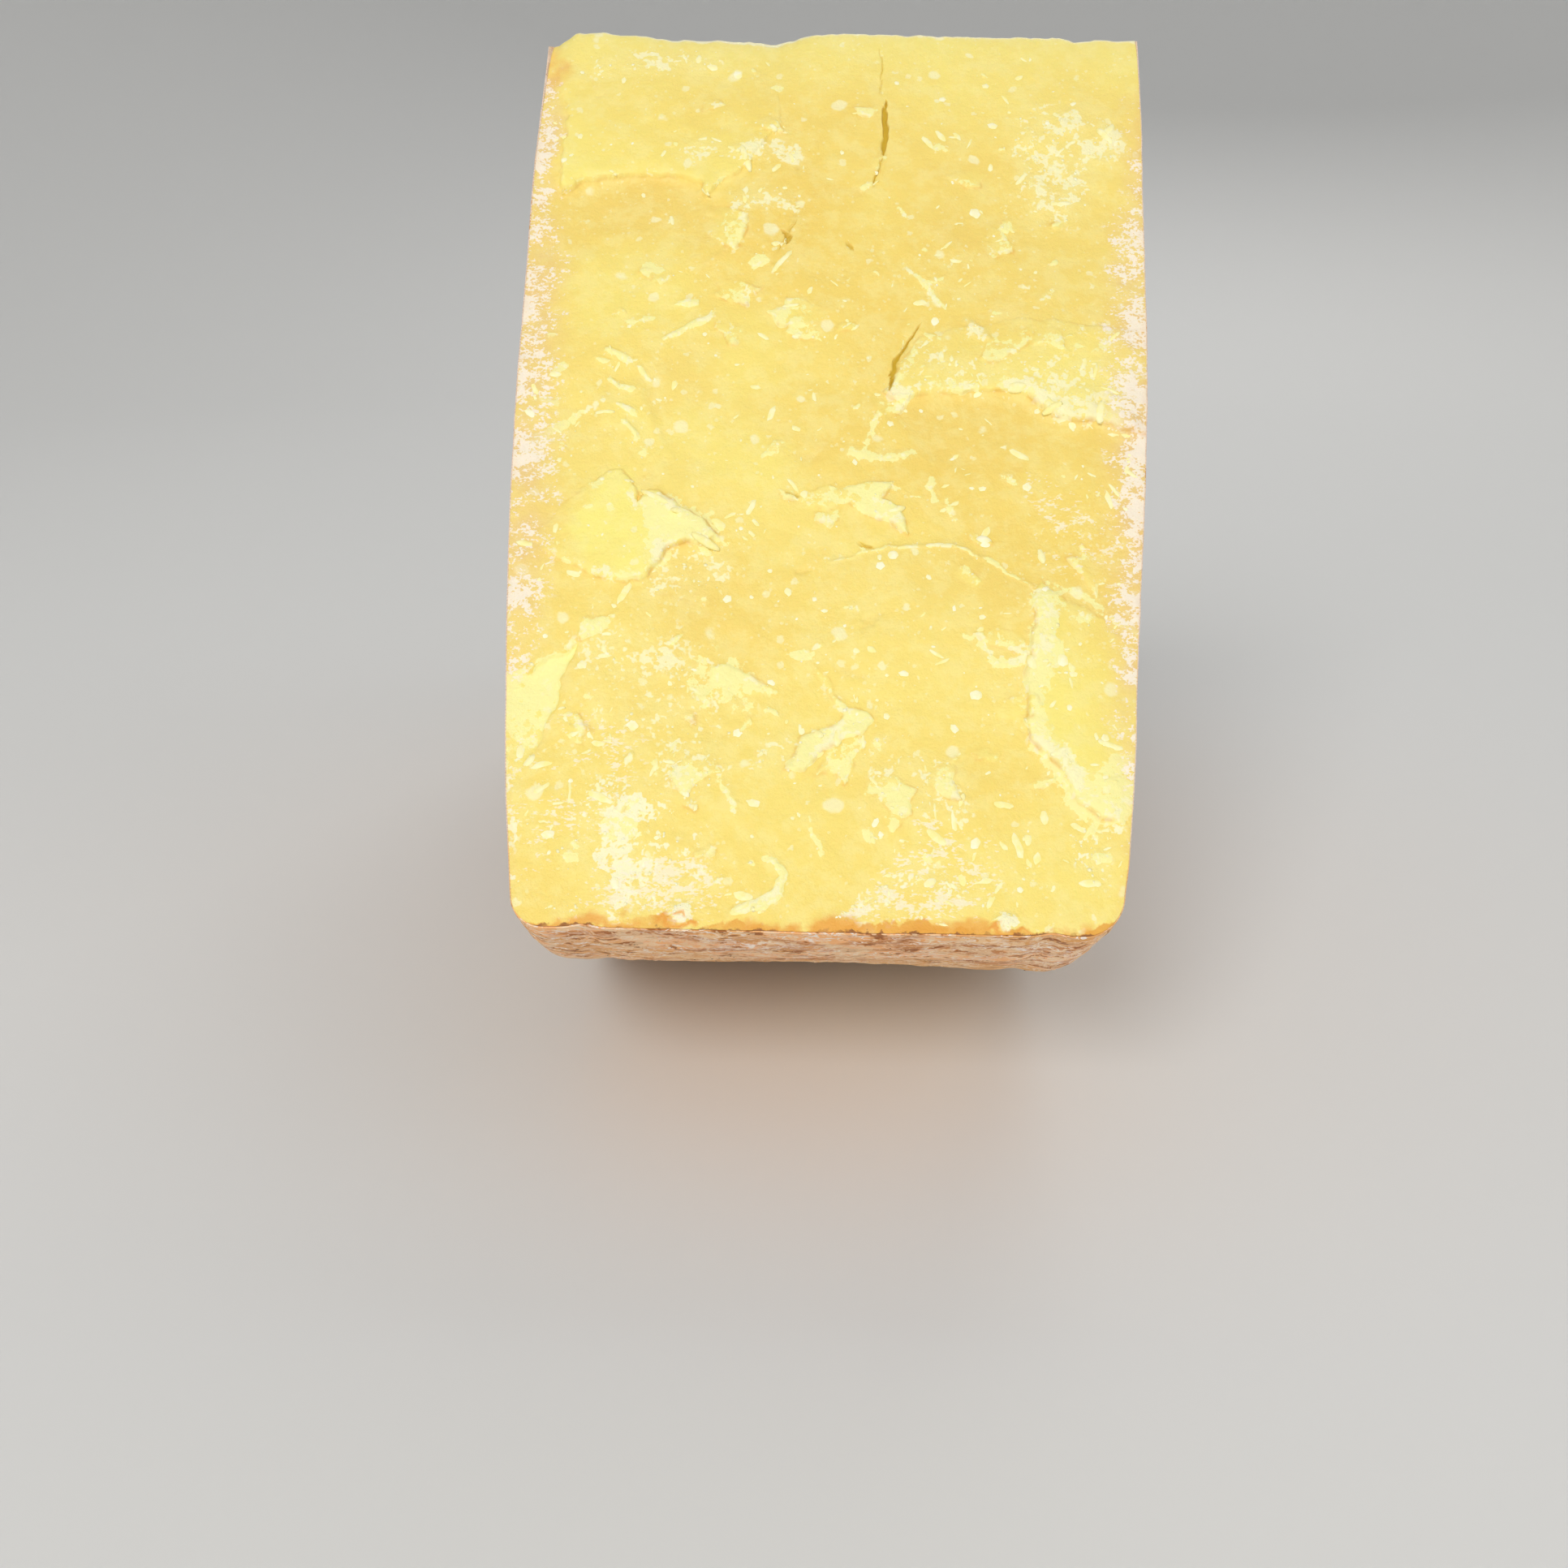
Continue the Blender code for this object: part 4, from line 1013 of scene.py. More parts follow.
def mesh_object(name: str, points: np.ndarray, faces: list) -> bpy.types.Object:
    """A new object in the scene's own collection.

    Args:
        name: The name of the object and of its mesh.
        points: Rows of x, y, z.
        faces: Lists of point numbers.

    Returns:
        The object.
    """
    mesh = bpy.data.meshes.new(name)
    mesh.from_pydata(points.tolist(), [], faces)
    made = bpy.data.objects.new(name, mesh)
    bpy.context.scene.collection.objects.link(made)
    return made


def paint(mesh: bpy.types.Mesh, name: str, values: np.ndarray) -> None:
    """Stores a value for each vertex.

    Args:
        mesh: The mesh.
        name: The new attribute's name.
        values: The values; vertices past the last one get 0.
    """
    full = np.zeros(len(mesh.vertices), np.float32)
    full[:len(values)] = values
    mesh.attributes.new(name, "FLOAT", "POINT").data.foreach_set("value", full)


def face_outward(mesh: bpy.types.Mesh) -> None:
    """Turns every face outwards.

    Args:
        mesh: A closed mesh.
    """
    work = bmesh.new()
    work.from_mesh(mesh)
    bmesh.ops.recalc_face_normals(work, faces=work.faces)
    work.to_mesh(mesh)
    work.free()


@dataclass
class Paste:
    """The pale inside: both cut faces and the crest, closed behind, under the rind."""

    wheel: Wheel
    front: CutFace
    back: CutFace
    spacing: tuple = (1.0, 1.3)  # of the front and the back face's points, in millimetres
    border_step: float = 0.8 * MM
    border_inset: float = 0.25 * MM
    border_rows: tuple = (0.35 * MM, 0.9 * MM)
    wall: float = 1.6 * MM
    wall_shrink: float = 0.9985
    core_inset: float = 3.4 * MM
    core_columns: int = 30
    core_share: float = 0.985  # of the half sector
    # How wide the painted highlight along the crest is.
    crest_glow: float = 1.3 * MM
    sharp_angle: float = math.radians(50)

    def face_points(self, face: CutFace, spacing: float, border: np.ndarray) -> np.ndarray:
        """The points inside one face.

        Args:
            face: The face.
            spacing: The distance between the even points.
            border: The face's border.

        Returns:
            Rows of x and distance down the face, in millimetres.
        """
        radius = self.wheel.radius / MM
        rows = thin_out(face.edge_rows(), 0.2)
        rows = np.column_stack([rows[:, 0], self.wheel.down_face(rows[:, 1] * MM, rows[:, 0] * MM) / MM])
        frame_rows = [self.wheel.section(self.border_step, self.border_inset + inset)[:, [0, 2]] / MM
                      for inset in self.border_rows]
        frame_rows = np.concatenate(frame_rows)
        rows = rows[distance_in(rows, border) > 1.2]
        rows = rows[rows[:, 1] > 1.5]
        fixed = np.concatenate([rows, frame_rows[frame_rows[:, 1] > 1.0]])
        low = np.array([-radius / 3, 0.4])
        grid = hex_grid(low, np.array([radius / 3, radius]), spacing, 0.22, face.seed)
        grid = away_from(grid, fixed, 0.5)
        grid = grid[distance_in(grid, border) > 1.4]
        return np.concatenate([fixed, grid])

    def build(self) -> bpy.types.Object:
        """Makes the body.

        Returns:
            The object, with its tints as mesh attributes.
        """
        loop = self.wheel.section(self.border_step, self.border_inset)
        one_side = loop[:, [0, 2]] / MM
        closed_side = np.vstack([one_side, [[one_side[-1, 0], -4]], [[one_side[0, 0], -4]]])
        border = np.concatenate([one_side * [1, -1], one_side[-2:0:-1]])
        inner = [self.face_points(self.front, self.spacing[0], closed_side) * [1, -1],
                 self.face_points(self.back, self.spacing[1], closed_side)]
        points, faces = fill_outline(border, np.concatenate(inner))
        x, across = points.T * MM
        radius = self.wheel.outward(across, x)
        place = np.column_stack([x, radius]) / MM
        lift, tints = np.zeros(len(x)), {tint.value: np.zeros(len(x)) for tint in Tint}
        for face, here in ((self.front, across <= 0), (self.back, across > 0)):
            lift[here], found = face.relief(place[here])
            for name, values in found.items():
                tints[name][here] = values
        sheet = self.wheel.on_cut(x, across, lift)
        sheet_count, border_count = len(sheet), len(border)
        edge, shrink = slice(0, border_count), self.wall_shrink
        low = self.wheel.on_cut(x[edge] * shrink, across[edge] * shrink, lift[edge] - self.wall)
        wall = [[k, (k + 1) % border_count, sheet_count + (k + 1) % border_count, sheet_count + k]
                for k in range(border_count)]
        core_points, core_faces = self.core(loop, sheet_count, border_count)
        all_points = np.concatenate([sheet, low, core_points])
        made = mesh_object("paste", all_points, faces.tolist() + wall + core_faces)
        face_outward(made.data)
        self.paint_all(made.data, x, across, tints)
        made.data.shade_smooth()
        made.data.set_sharp_from_angle(angle=self.sharp_angle)
        return made

    def paint_all(self, mesh: bpy.types.Mesh, x: np.ndarray, across: np.ndarray, tints: dict) -> None:
        """Stores the tints, the masks for what lies on the paste, and its places.

        Args:
            mesh: The body's mesh, whose first vertices are the sheet's.
            x: Place across the wheel, in metres.
            across: Signed distance from the crest.
            tints: Tint name to its share.
        """
        radius = self.wheel.outward(across, x)
        half = self.wheel.half_thickness(radius, x)
        inside = smooth_step((half - np.abs(x)) / (2.5 * MM) - 0.5)
        inside *= smooth_step((self.wheel.radius - radius) / (3 * MM) - 0.5)
        inside *= smooth_step(np.abs(across) / (4 * MM) - 0.4)
        lower = smooth_step(radius / (0.5 * self.wheel.radius) - 0.6)
        patchy = smooth_step(lattice_noise(np.column_stack([x, radius]) / MM, 16, 91) + 0.35)
        # The crest mask is a painted highlight along the crest.
        masks = {"shown": inside * (0.4 + 0.6 * lower),
                 "shaved": np.clip((0.25 + 0.45 * lower) * patchy + 0.8 * tints["cream"], 0, 1) * inside,
                 "crumbled": np.clip(tints["cream"] * 0.5 + tints["powder"] * 0.9, 0, 1) ** 1.5 * inside,
                 "crest": np.exp(-(across / self.crest_glow) ** 2), "side_gap": half - np.abs(x),
                 "rim_gap": self.wheel.radius - radius, "from_axis": radius}
        for name, values in (tints | masks).items():
            paint(mesh, name, values)

    def core(self, loop: np.ndarray, sheet_count: int, border_count: int) -> tuple:
        """The hidden walls under the rind: a strip behind the rim and a cap behind each flat face.

        Args:
            loop: The face's border, as rows from Wheel.section.
            sheet_count: How many points the faces and crest have.
            border_count: How many points their border has.

        Returns:
            The strip's points, and all the faces as lists of point numbers.
        """
        last = len(loop) - 1
        first_new = sheet_count + border_count
        rim = np.flatnonzero(loop[:, 1] >= self.wheel.radius - self.wheel.left_edge)
        rim = np.arange(rim[0], rim[-1] + 1)
        angles = np.linspace(-1, 1, self.core_columns + 2)[1:-1] * self.wheel.half_sector * self.core_share
        points, numbers = [], {}
        for row in rim:
            x = loop[row, 0] * (1 - self.core_inset / self.wheel.right_half[0])
            for column, angle in enumerate(angles):
                numbers[row, column] = first_new + len(points)
                radius = loop[row, 1] - self.core_inset
                height = self.wheel.axis_height - radius * math.cos(angle)
                points.append((x, radius * math.sin(angle), height))

        def low_front(row: int) -> int:
            """The lowered border's point of the front face."""
            return sheet_count + row

        def low_back(row: int) -> int:
            """The lowered border's point of the back face."""
            return sheet_count + (row if row in (0, last) else border_count - row)

        def strip_point(row: int, column: int) -> int:
            """A point of the strip, whose ends are the lowered borders.

            Args:
                row: The border's row.
                column: The strip's column, from -1 to the number of columns.

            Returns:
                The point's number.
            """
            if column < 0:
                return low_front(row)
            return low_back(row) if column >= self.core_columns else numbers[row, column]

        faces = [[strip_point(row, column), strip_point(row, column + 1),
                  strip_point(row + 1, column + 1), strip_point(row + 1, column)]
                 for row in rim[:-1] for column in range(-1, self.core_columns)]
        for rows, end in ((range(0, rim[0] + 1), rim[0]), (range(last, rim[-1] - 1, -1), rim[-1])):
            down_front = [low_front(row) for row in rows]
            up_back = [low_back(row) for row in reversed(list(rows)[1:])]
            arc = [strip_point(end, column) for column in range(self.core_columns)]
            faces.append(down_front + arc + up_back)
        return np.array(points), faces


@dataclass
class Rind:
    """The skin: both flat faces of the wheel and its rim, as one bent shell with a real thickness."""

    wheel: Wheel
    front: CutFace
    back: CutFace
    border_step: float = 0.8 * MM
    flank_spacing: float = 2.15
    column_step: tuple = (0.6 * MM, 1.75 * MM, 1.15)  # at the cut, in the middle, and the growth
    row_step: float = 1.35 * MM
    join_inset: float = 9 * MM
    recess: float = 0.18 * MM
    reach: float = 15 * MM
    thickness: float = 2.4 * MM
    taper: float = 7 * MM  # over which the thickness grows from the cut
    join_gap: float = 0.02 * MM

    def angles(self) -> np.ndarray:
        """The columns' turns round the axis.

        Returns:
            The angles from straight down, closer together near both cuts.
        """
        first, widest, growth = self.column_step
        steps, total, step = [], 0.0, first
        while total < self.wheel.half_sector * self.wheel.radius:
            steps.append(step)
            total += step
            step = min(step * growth, widest)
        turn = np.cumsum(steps) / total * self.wheel.half_sector
        front_half = -self.wheel.half_sector + np.append(0, turn)
        return np.append(front_half, -front_half[-2::-1])

    def place(self, x: np.ndarray, radius: np.ndarray, angle: np.ndarray) -> np.ndarray:
        """Places on the finished skin.

        Args:
            x: Place across the wheel, on the even skin.
            radius: Distance from the axis.
            angle: Turn round the axis, from straight down.

        Returns:
            Rows of x, y, z.
        """
        wheel = self.wheel
        along, out = wheel.skin_shift(x, radius, angle)
        spot = np.column_stack([x, radius * np.sin(angle), radius * np.cos(angle)])
        to_cut = wheel.half_sector - np.abs(angle)
        depth, face_radius = radius * np.sin(to_cut), radius * np.cos(to_cut)
        rimness = smooth_step((radius - wheel.radius + 1.2 * wheel.right_edge) / wheel.right_edge)
        inner = smooth_step(depth / (4 * MM))
        grain = self.rim_relief(spot) + self.torn_relief(spot) * smooth_step(1.6 - depth / (14 * MM))
        grain = grain * rimness * smooth_step(np.abs(angle) / wheel.rest_calm - 0.6)
        grain = grain + self.flank_relief(spot) * (1 - rimness)
        grain = grain * inner
        half = wheel.half_thickness(radius, x)
        side = smooth_step((np.abs(x) - half + wheel.right_edge) / wheel.right_edge)
        norm = np.hypot(side, rimness) + 1e-9
        new_x = x + along + np.sign(x) * grain * side / norm
        new_radius = radius + out + grain * rimness / norm
        sine, cosine = math.sin(wheel.half_sector), math.cos(wheel.half_sector)
        y, z = new_radius * np.sin(angle), wheel.axis_height - new_radius * np.cos(angle)
        share = smooth_step(1 - depth / self.reach)
        for face, sign in ((self.front, -1), (self.back, 1)):
            near = np.flatnonzero((share > 0) & (np.sign(angle) == sign))
            lift, _ = face.relief(np.column_stack([x[near], face_radius[near]]) / MM)
            move = (lift - self.recess) * share[near]
            y[near] += sign * move * cosine
            z[near] += move * sine
        return np.column_stack([new_x, y, np.maximum(z, 0)])

    def rim_relief(self, spot: np.ndarray) -> np.ndarray:
        """The rim's dents, grains and pits.

        Args:
            spot: Rows of x, y, z from the axis, before the relief.

        Returns:
            The height in metres.
        """
        mm = spot / MM
        height = 0.35 * lattice_noise(mm, 17, 61) + 0.22 * lattice_noise(mm, 6.5, 62)
        height += 0.30 * np.maximum(lattice_noise(mm, 3.4, 63) - 0.15, 0)
        height += 0.10 * lattice_noise(mm, 2.1, 64)
        height -= 0.5 * np.maximum(lattice_noise(mm, 5.2, 65) - 0.55, 0)
        return height * MM

    def torn_relief(self, spot: np.ndarray) -> np.ndarray:
        """The ridges that run along the rim's torn border.

        Args:
            spot: Rows of x, y, z from the axis, before the relief.

        Returns:
            The height in metres.
        """
        mm = spot / MM * [0.2, 1, 1]
        height = 0.34 * lattice_noise(mm, 2.6, 69) + 0.22 * lattice_noise(mm * [3, 1, 1], 1.7, 70)
        return height * MM

    def flank_relief(self, spot: np.ndarray) -> np.ndarray:
        """The flat faces' unevenness.

        Args:
            spot: Rows of x, y, z from the axis, before the relief.

        Returns:
            The height in metres.
        """
        mm = spot / MM
        height = 0.22 * lattice_noise(mm, 21, 66) + 0.12 * lattice_noise(mm, 7.5, 67)
        height += 0.08 * lattice_noise(mm, 3.2, 68)
        return height * MM

    def flank(self, loop: np.ndarray, angles: np.ndarray) -> tuple:
        """One flat face.

        Args:
            loop: The section's rows from the crest to the join with the rim.
            angles: The columns' turns at the join.

        Returns:
            The points as rows of x, radius and angle, and the faces.
        """
        x, radius, down = loop.T
        sine, cosine = math.sin(self.wheel.half_sector), math.cos(self.wheel.half_sector)
        side = np.column_stack([down * sine, radius * cosine]) / MM
        arc = angles[1:-1]
        join = np.column_stack([np.sin(arc), np.cos(arc)]) * radius[-1] / MM
        border = np.concatenate([side[::-1] * [-1, 1], side[1:], join[::-1]])
        top = np.array([-self.wheel.radius, 0]) / MM
        inner = hex_grid(top, -top + [0, radius[-1] / MM], self.flank_spacing, 0.2, 81)
        inner = inner[np.linalg.norm(inner, axis=1) < radius[-1] / MM - 1.1]
        inner = inner[distance_in(inner, border) > 1.1]
        points, faces = fill_outline(border, inner)
        here = np.linalg.norm(points, axis=1) * MM
        turn = np.arctan2(points[:, 0], points[:, 1])
        count = len(side)
        turn[:count - 1] = -self.wheel.half_sector
        turn[count:2 * count - 1] = self.wheel.half_sector
        here[:2 * count - 1] = np.concatenate([radius[::-1], radius[1:]])
        turn[count - 1] = 0
        here[count - 1] = radius[0] * cosine
        sign = math.copysign(1, x[0])
        half = self.wheel.half_thickness(here, np.full(len(here), sign))
        return np.column_stack([sign * half, here, turn]), faces

    def build(self) -> bpy.types.Object:
        """Makes the shell.

        Returns:
            The object, with its place on the wheel as mesh attributes.
        """
        loop = self.wheel.section(self.border_step)
        angles = self.angles()
        band = np.flatnonzero(loop[:, 1] >= self.wheel.radius - self.join_inset)
        first, last = band[0], band[-1]
        band_rows = loop[first:last + 1]
        parts, faces, start = [], [], 0
        for flank_loop in (loop[:first + 1], loop[last:][::-1]):
            rows, found = self.flank(flank_loop, angles)
            parts.append(rows)
            faces += (found + start).tolist()
            start += len(rows)
        row, column = np.meshgrid(np.arange(len(band_rows)), np.arange(len(angles)), indexing="ij")
        parts.append(np.column_stack([band_rows[row.ravel(), :2], angles[column.ravel()]]))
        grid = start + row * len(angles) + column
        quads = np.stack([grid[:-1, :-1], grid[:-1, 1:], grid[1:, 1:], grid[1:, :-1]], axis=-1).reshape(-1, 4)
        rows = np.concatenate(parts)
        made = mesh_object("rind", self.place(*rows.T), faces + quads.tolist())
        self.paint_all(made.data, *rows.T)
        self.join(made.data)
        made.data.shade_smooth()
        self.thicken(made)
        return made

    def paint_all(self, mesh: bpy.types.Mesh, x: np.ndarray, radius: np.ndarray, angle: np.ndarray) -> None:
        """Stores the masks for the finish and for what lies on the rind, and its places.

        Args:
            mesh: The shell's mesh.
            x: Place across the wheel.
            radius: Distance from the axis.
            angle: Turn round the axis, from straight down.
        """
        wheel = self.wheel
        rimness = smooth_step((radius - wheel.radius + wheel.right_edge) / wheel.right_edge)
        spot = np.column_stack([x, radius * np.sin(angle), radius * np.cos(angle)]) / MM
        free = smooth_step(np.abs(angle) / wheel.rest_calm - 0.8)
        patchy = smooth_step(1.6 * lattice_noise(spot, 19, 93) + 0.45)
        clustered = smooth_step(2.2 * lattice_noise(spot, 26, 94) - 0.35)
        for name, values in (("rimness", rimness), ("grained", (0.1 + 0.9 * rimness * patchy) * free),
                             ("specked", (0.05 + clustered) * rimness * free), ("from_axis", radius),
                             ("cut_gap", radius * np.sin(wheel.half_sector - np.abs(angle)))):
            paint(mesh, name, values)

    def join(self, mesh: bpy.types.Mesh) -> None:
        """Joins the flat faces to the rim and turns all faces outwards.

        Args:
            mesh: The shell's mesh.
        """
        work = bmesh.new()
        work.from_mesh(mesh)
        bmesh.ops.remove_doubles(work, verts=work.verts, dist=self.join_gap)
        bmesh.ops.recalc_face_normals(work, faces=work.faces)
        lowest = min(work.faces, key=lambda face: face.calc_center_median().z)
        if lowest.normal.z > 0:
            bmesh.ops.reverse_faces(work, faces=work.faces)
        work.to_mesh(mesh)
        work.free()

    def thicken(self, made: bpy.types.Object) -> None:
        """Gives the shell its thickness, which grows from the cut.

        Args:
            made: The rind.
        """
        thick = made.vertex_groups.new(name="thick")
        gaps = np.zeros(len(made.data.vertices), np.float32)
        made.data.attributes["cut_gap"].data.foreach_get("value", gaps)
        share = np.clip(gaps / self.taper, 0.1, 1)
        for step in np.linspace(0.1, 1, 10):
            thick.add(np.flatnonzero(np.abs(share - step) <= 0.05).tolist(), float(step), "REPLACE")
        shell = made.modifiers.new("shell", "SOLIDIFY")
        shell.vertex_group = thick.name
        shell.thickness = self.thickness
        shell.offset = -1
        shell.use_even_offset = False


# Finishes


Socket = bpy.types.NodeSocket


def srgb(red: int, green: int, blue: int) -> tuple:
    """A screen colour from 0 to 255 as the linear colour that a shader takes."""
    shares = (value / 255 for value in (red, green, blue))
    return tuple(v / 12.92 if v <= 0.04045 else ((v + 0.055) / 1.055) ** 2.4 for v in shares) + (1.0,)


class Graph:
    """Adds nodes to one tree and joins them."""

    def __init__(self, tree: bpy.types.NodeTree) -> None:
        """Keeps the tree."""
        self.tree = tree

    def set(self, socket: Socket, value: object) -> None:
        """Joins another node's output to an input, or gives it a plain value.

        Args:
            socket: The input.
            value: The output or the value.
        """
        if isinstance(value, Socket):
            self.tree.links.new(value, socket)
        else:
            socket.default_value = value

    def add(self, kind: str, inputs: dict | None = None, **settings: object) -> bpy.types.Node:
        """Adds a node.

        Args:
            kind: The node's type.
            inputs: Socket name or number to a value or to another node's output.
            settings: The node's own properties.

        Returns:
            The node.
        """
        node = self.tree.nodes.new(kind)
        for name, value in settings.items():
            setattr(node, name, value)
        for name, value in (inputs or {}).items():
            self.set(node.inputs[name], value)
        return node

    def math(self, operation: str, *values: object, clamp: bool = False) -> Socket:
        """The result of a Math node on up to three values or outputs."""
        node = self.add("ShaderNodeMath", dict(enumerate(values)), operation=operation, use_clamp=clamp)
        return node.outputs[0]

    def plus(self, first: object, second: object, clamp: bool = False) -> Socket:
        """The sum of two values or outputs."""
        return self.math("ADD", first, second, clamp=clamp)

    def minus(self, first: object, second: object) -> Socket:
        """The difference of two values or outputs."""
        return self.math("SUBTRACT", first, second)

    def times(self, first: object, second: object) -> Socket:
        """The product of two values or outputs."""
        return self.math("MULTIPLY", first, second)

    def vector(self, operation: str, first: object, second: object) -> Socket:
        """The result of a Vector Math node; SCALE takes a number second."""
        other = "Scale" if operation == "SCALE" else 1
        return self.add("ShaderNodeVectorMath", {0: first, other: second}, operation=operation).outputs[0]

    def noise(self, place: Socket, scale: object, detail: float = 2.0, roughness: float = 0.55,
              output: int = 0) -> Socket:
        """A noise texture's value, or its colour as output 1, with so many cells to the metre."""
        inputs = {"Vector": place, "Scale": scale, "Detail": detail, "Roughness": roughness}
        return self.add("ShaderNodeTexNoise", inputs).outputs[output]

    def rise(self, value: object, low: object, high: object, to_low: float = 0.0,
             to_high: float = 1.0) -> Socket:
        """A smooth rise from to_low to to_high while the value goes from low to high."""
        inputs = {"Value": value, "From Min": low, "From Max": high, "To Min": to_low, "To Max": to_high}
        return self.add("ShaderNodeMapRange", inputs, interpolation_type="SMOOTHSTEP").outputs[0]

    def mix(self, share: object, first: object, second: object) -> Socket:
        """Two colours mixed by a share."""
        inputs = {0: share, 6: first, 7: second}
        return self.add("ShaderNodeMix", inputs, data_type="RGBA", clamp_factor=True).outputs[2]

    def stretched(self, place: Socket, scale: tuple = (1, 1, 1), turn: tuple = (0, 0, 0),
                  shift: tuple = (0, 0, 0)) -> Socket:
        """A place scaled on each axis, turned and moved."""
        inputs = {"Vector": place, "Scale": scale, "Rotation": turn, "Location": shift}
        return self.add("ShaderNodeMapping", inputs).outputs[0]

    def attribute(self, name: str) -> Socket:
        """A mesh attribute's value."""
        return self.add("ShaderNodeAttribute", attribute_name=name).outputs["Fac"]

    def group(self, tree: bpy.types.NodeTree, **inputs: object) -> Socket:
        """The output of a shared group that is placed with its own values."""
        return self.add("ShaderNodeGroup", inputs, node_tree=tree).outputs[0]

    def bump(self, shader: bpy.types.NodeInputs, height: Socket, reach: float,
             strength: float = 1.0) -> None:
        """Joins a bump of that reach to a shader's normal."""
        node = self.add("ShaderNodeBump", {"Strength": strength, "Distance": reach, "Height": height})
        self.set(shader["Normal"], node.outputs[0])


class Coats:
    """A colour that is built up coat by coat."""

    def __init__(self, graph: Graph, colour: Socket) -> None:
        """Keeps the graph and the ground colour."""
        self.graph, self.colour = graph, colour

    def lay(self, tint: object, mask: Socket, share: float = 1.0) -> None:
        """Lays a tint over the colour, where the mask is, up to that share."""
        mask = mask if share == 1.0 else self.graph.times(mask, share)
        self.colour = self.graph.mix(mask, self.colour, tint)


class Effects:
    """The effects that more than one finish uses, each a shader node group."""

    def __init__(self) -> None:
        """Builds every group once."""
        self.lacy_group = self.make_lacy()
        self.specks_group = self.make_specks()
        self.solid_group = self.make_solid()
        self.mottle_group = self.make_mottle()

    def lacy(self, graph: Graph, place: Socket, amount: object, scale: float, edge: float) -> Socket:
        """The lacy mask, placed in a graph with its own values."""
        return graph.group(self.lacy_group, Place=place, Amount=amount, Scale=scale, Edge=edge)

    def mottle(self, graph: Graph, place: Socket, scale: float, contrast: float) -> Socket:
        """The slow unevenness, placed in a graph with its own values."""
        return graph.group(self.mottle_group, Place=place, Scale=scale, Contrast=contrast)

    def start(self, name: str, output: str, **inputs: float | None) -> tuple:
        """A new group with its sockets.

        Args:
            name: The group's name.
            output: The name of its output, a value.
            inputs: Input name to its first value; None makes a vector.

        Returns:
            Its Graph, the input node's outputs, and the output node's one input.
        """
        tree = bpy.data.node_groups.new(name, "ShaderNodeTree")
        for label, value in inputs.items():
            kind = "NodeSocketVector" if value is None else "NodeSocketFloat"
            socket = tree.interface.new_socket(label, in_out="INPUT", socket_type=kind)
            if value is not None:
                socket.default_value = value
        tree.interface.new_socket(output, in_out="OUTPUT", socket_type="NodeSocketFloat")
        graph = Graph(tree)
        return graph, graph.add("NodeGroupInput").outputs, graph.add("NodeGroupOutput").inputs[0]

    def make_lacy(self) -> bpy.types.NodeTree:
        """Makes a ragged, granular mask that covers about the share of the surface that Amount gives.

        Returns:
            The group.
        """
        graph, given, out = self.start("lacy_mask", "Mask", Place=None, Amount=0.5, Scale=400.0, Edge=0.12)
        value = given["Amount"]
        for share, detail, contrast in ((0.3, 3.0, 2.4), (1.0, 3.0, 2.8), (3.1, 1.0, 2.2)):
            noise = graph.noise(given["Place"], graph.times(given["Scale"], share), detail, 0.62)
            value = graph.plus(value, graph.times(graph.minus(noise, 0.5), contrast))
        mask = graph.rise(value, 0.5, graph.plus(0.5, given["Edge"]))
        graph.set(out, graph.times(mask, graph.rise(given["Amount"], 0.02, 0.2)))
        return graph.tree

    def make_specks(self) -> bpy.types.NodeTree:
        """Makes round specks of many sizes, in so large a share of the cells of a scattered grid.

        Returns:
            The group.
        """
        graph, given, out = self.start("specks", "Mask", Place=None, Scale=250.0, Share=0.2, Size=0.35,
                                       Warp=0.4 * MM)
        bend = graph.noise(given["Place"], graph.times(given["Scale"], 2.2), 2.0, 0.5, output=1)
        shift = graph.vector("SCALE", graph.vector("SUBTRACT", bend, (0.5, 0.5, 0.5)),
                             graph.times(given["Warp"], 6.0))
        cells = graph.add("ShaderNodeTexVoronoi", {"Vector": graph.vector("ADD", given["Place"], shift),
                                                   "Scale": given["Scale"]}).outputs
        parts = graph.add("ShaderNodeSeparateColor", {"Color": cells["Color"]}).outputs
        chosen = graph.math("LESS_THAN", parts[0], given["Share"])
        reach = graph.times(given["Size"], graph.plus(0.4, parts[1]))
        graph.set(out, graph.times(chosen, graph.rise(cells["Distance"], reach, graph.times(reach, 0.6))))
        return graph.tree

    def make_solid(self) -> bpy.types.NodeTree:
        """Makes a solid mask with a finely ragged edge, where Amount is over about a half.

        Returns:
            The group.
        """
        graph, given, out = self.start("solid_mask", "Mask", Place=None, Amount=0.5, Scale=500.0)
        ragged = graph.minus(graph.noise(given["Place"], given["Scale"], 4.0, 0.62), 0.5)
        mask = graph.rise(graph.plus(given["Amount"], graph.times(ragged, 2.6)), 0.42, 0.62)
        graph.set(out, graph.times(mask, graph.rise(given["Amount"], 0.05, 0.3)))
        return graph.tree

    def make_mottle(self) -> bpy.types.NodeTree:
        """Makes slow unevenness from 0 to 1, with finer unevenness in it.

        Returns:
            The group.
        """
        graph, given, out = self.start("mottle", "Value", Place=None, Scale=14.0, Contrast=1.0)
        noise = graph.minus(graph.noise(given["Place"], given["Scale"], 4.0, 0.55), 0.5)
        graph.set(out, graph.plus(graph.times(noise, graph.times(given["Contrast"], 3.0)), 0.5, clamp=True))
        return graph.tree


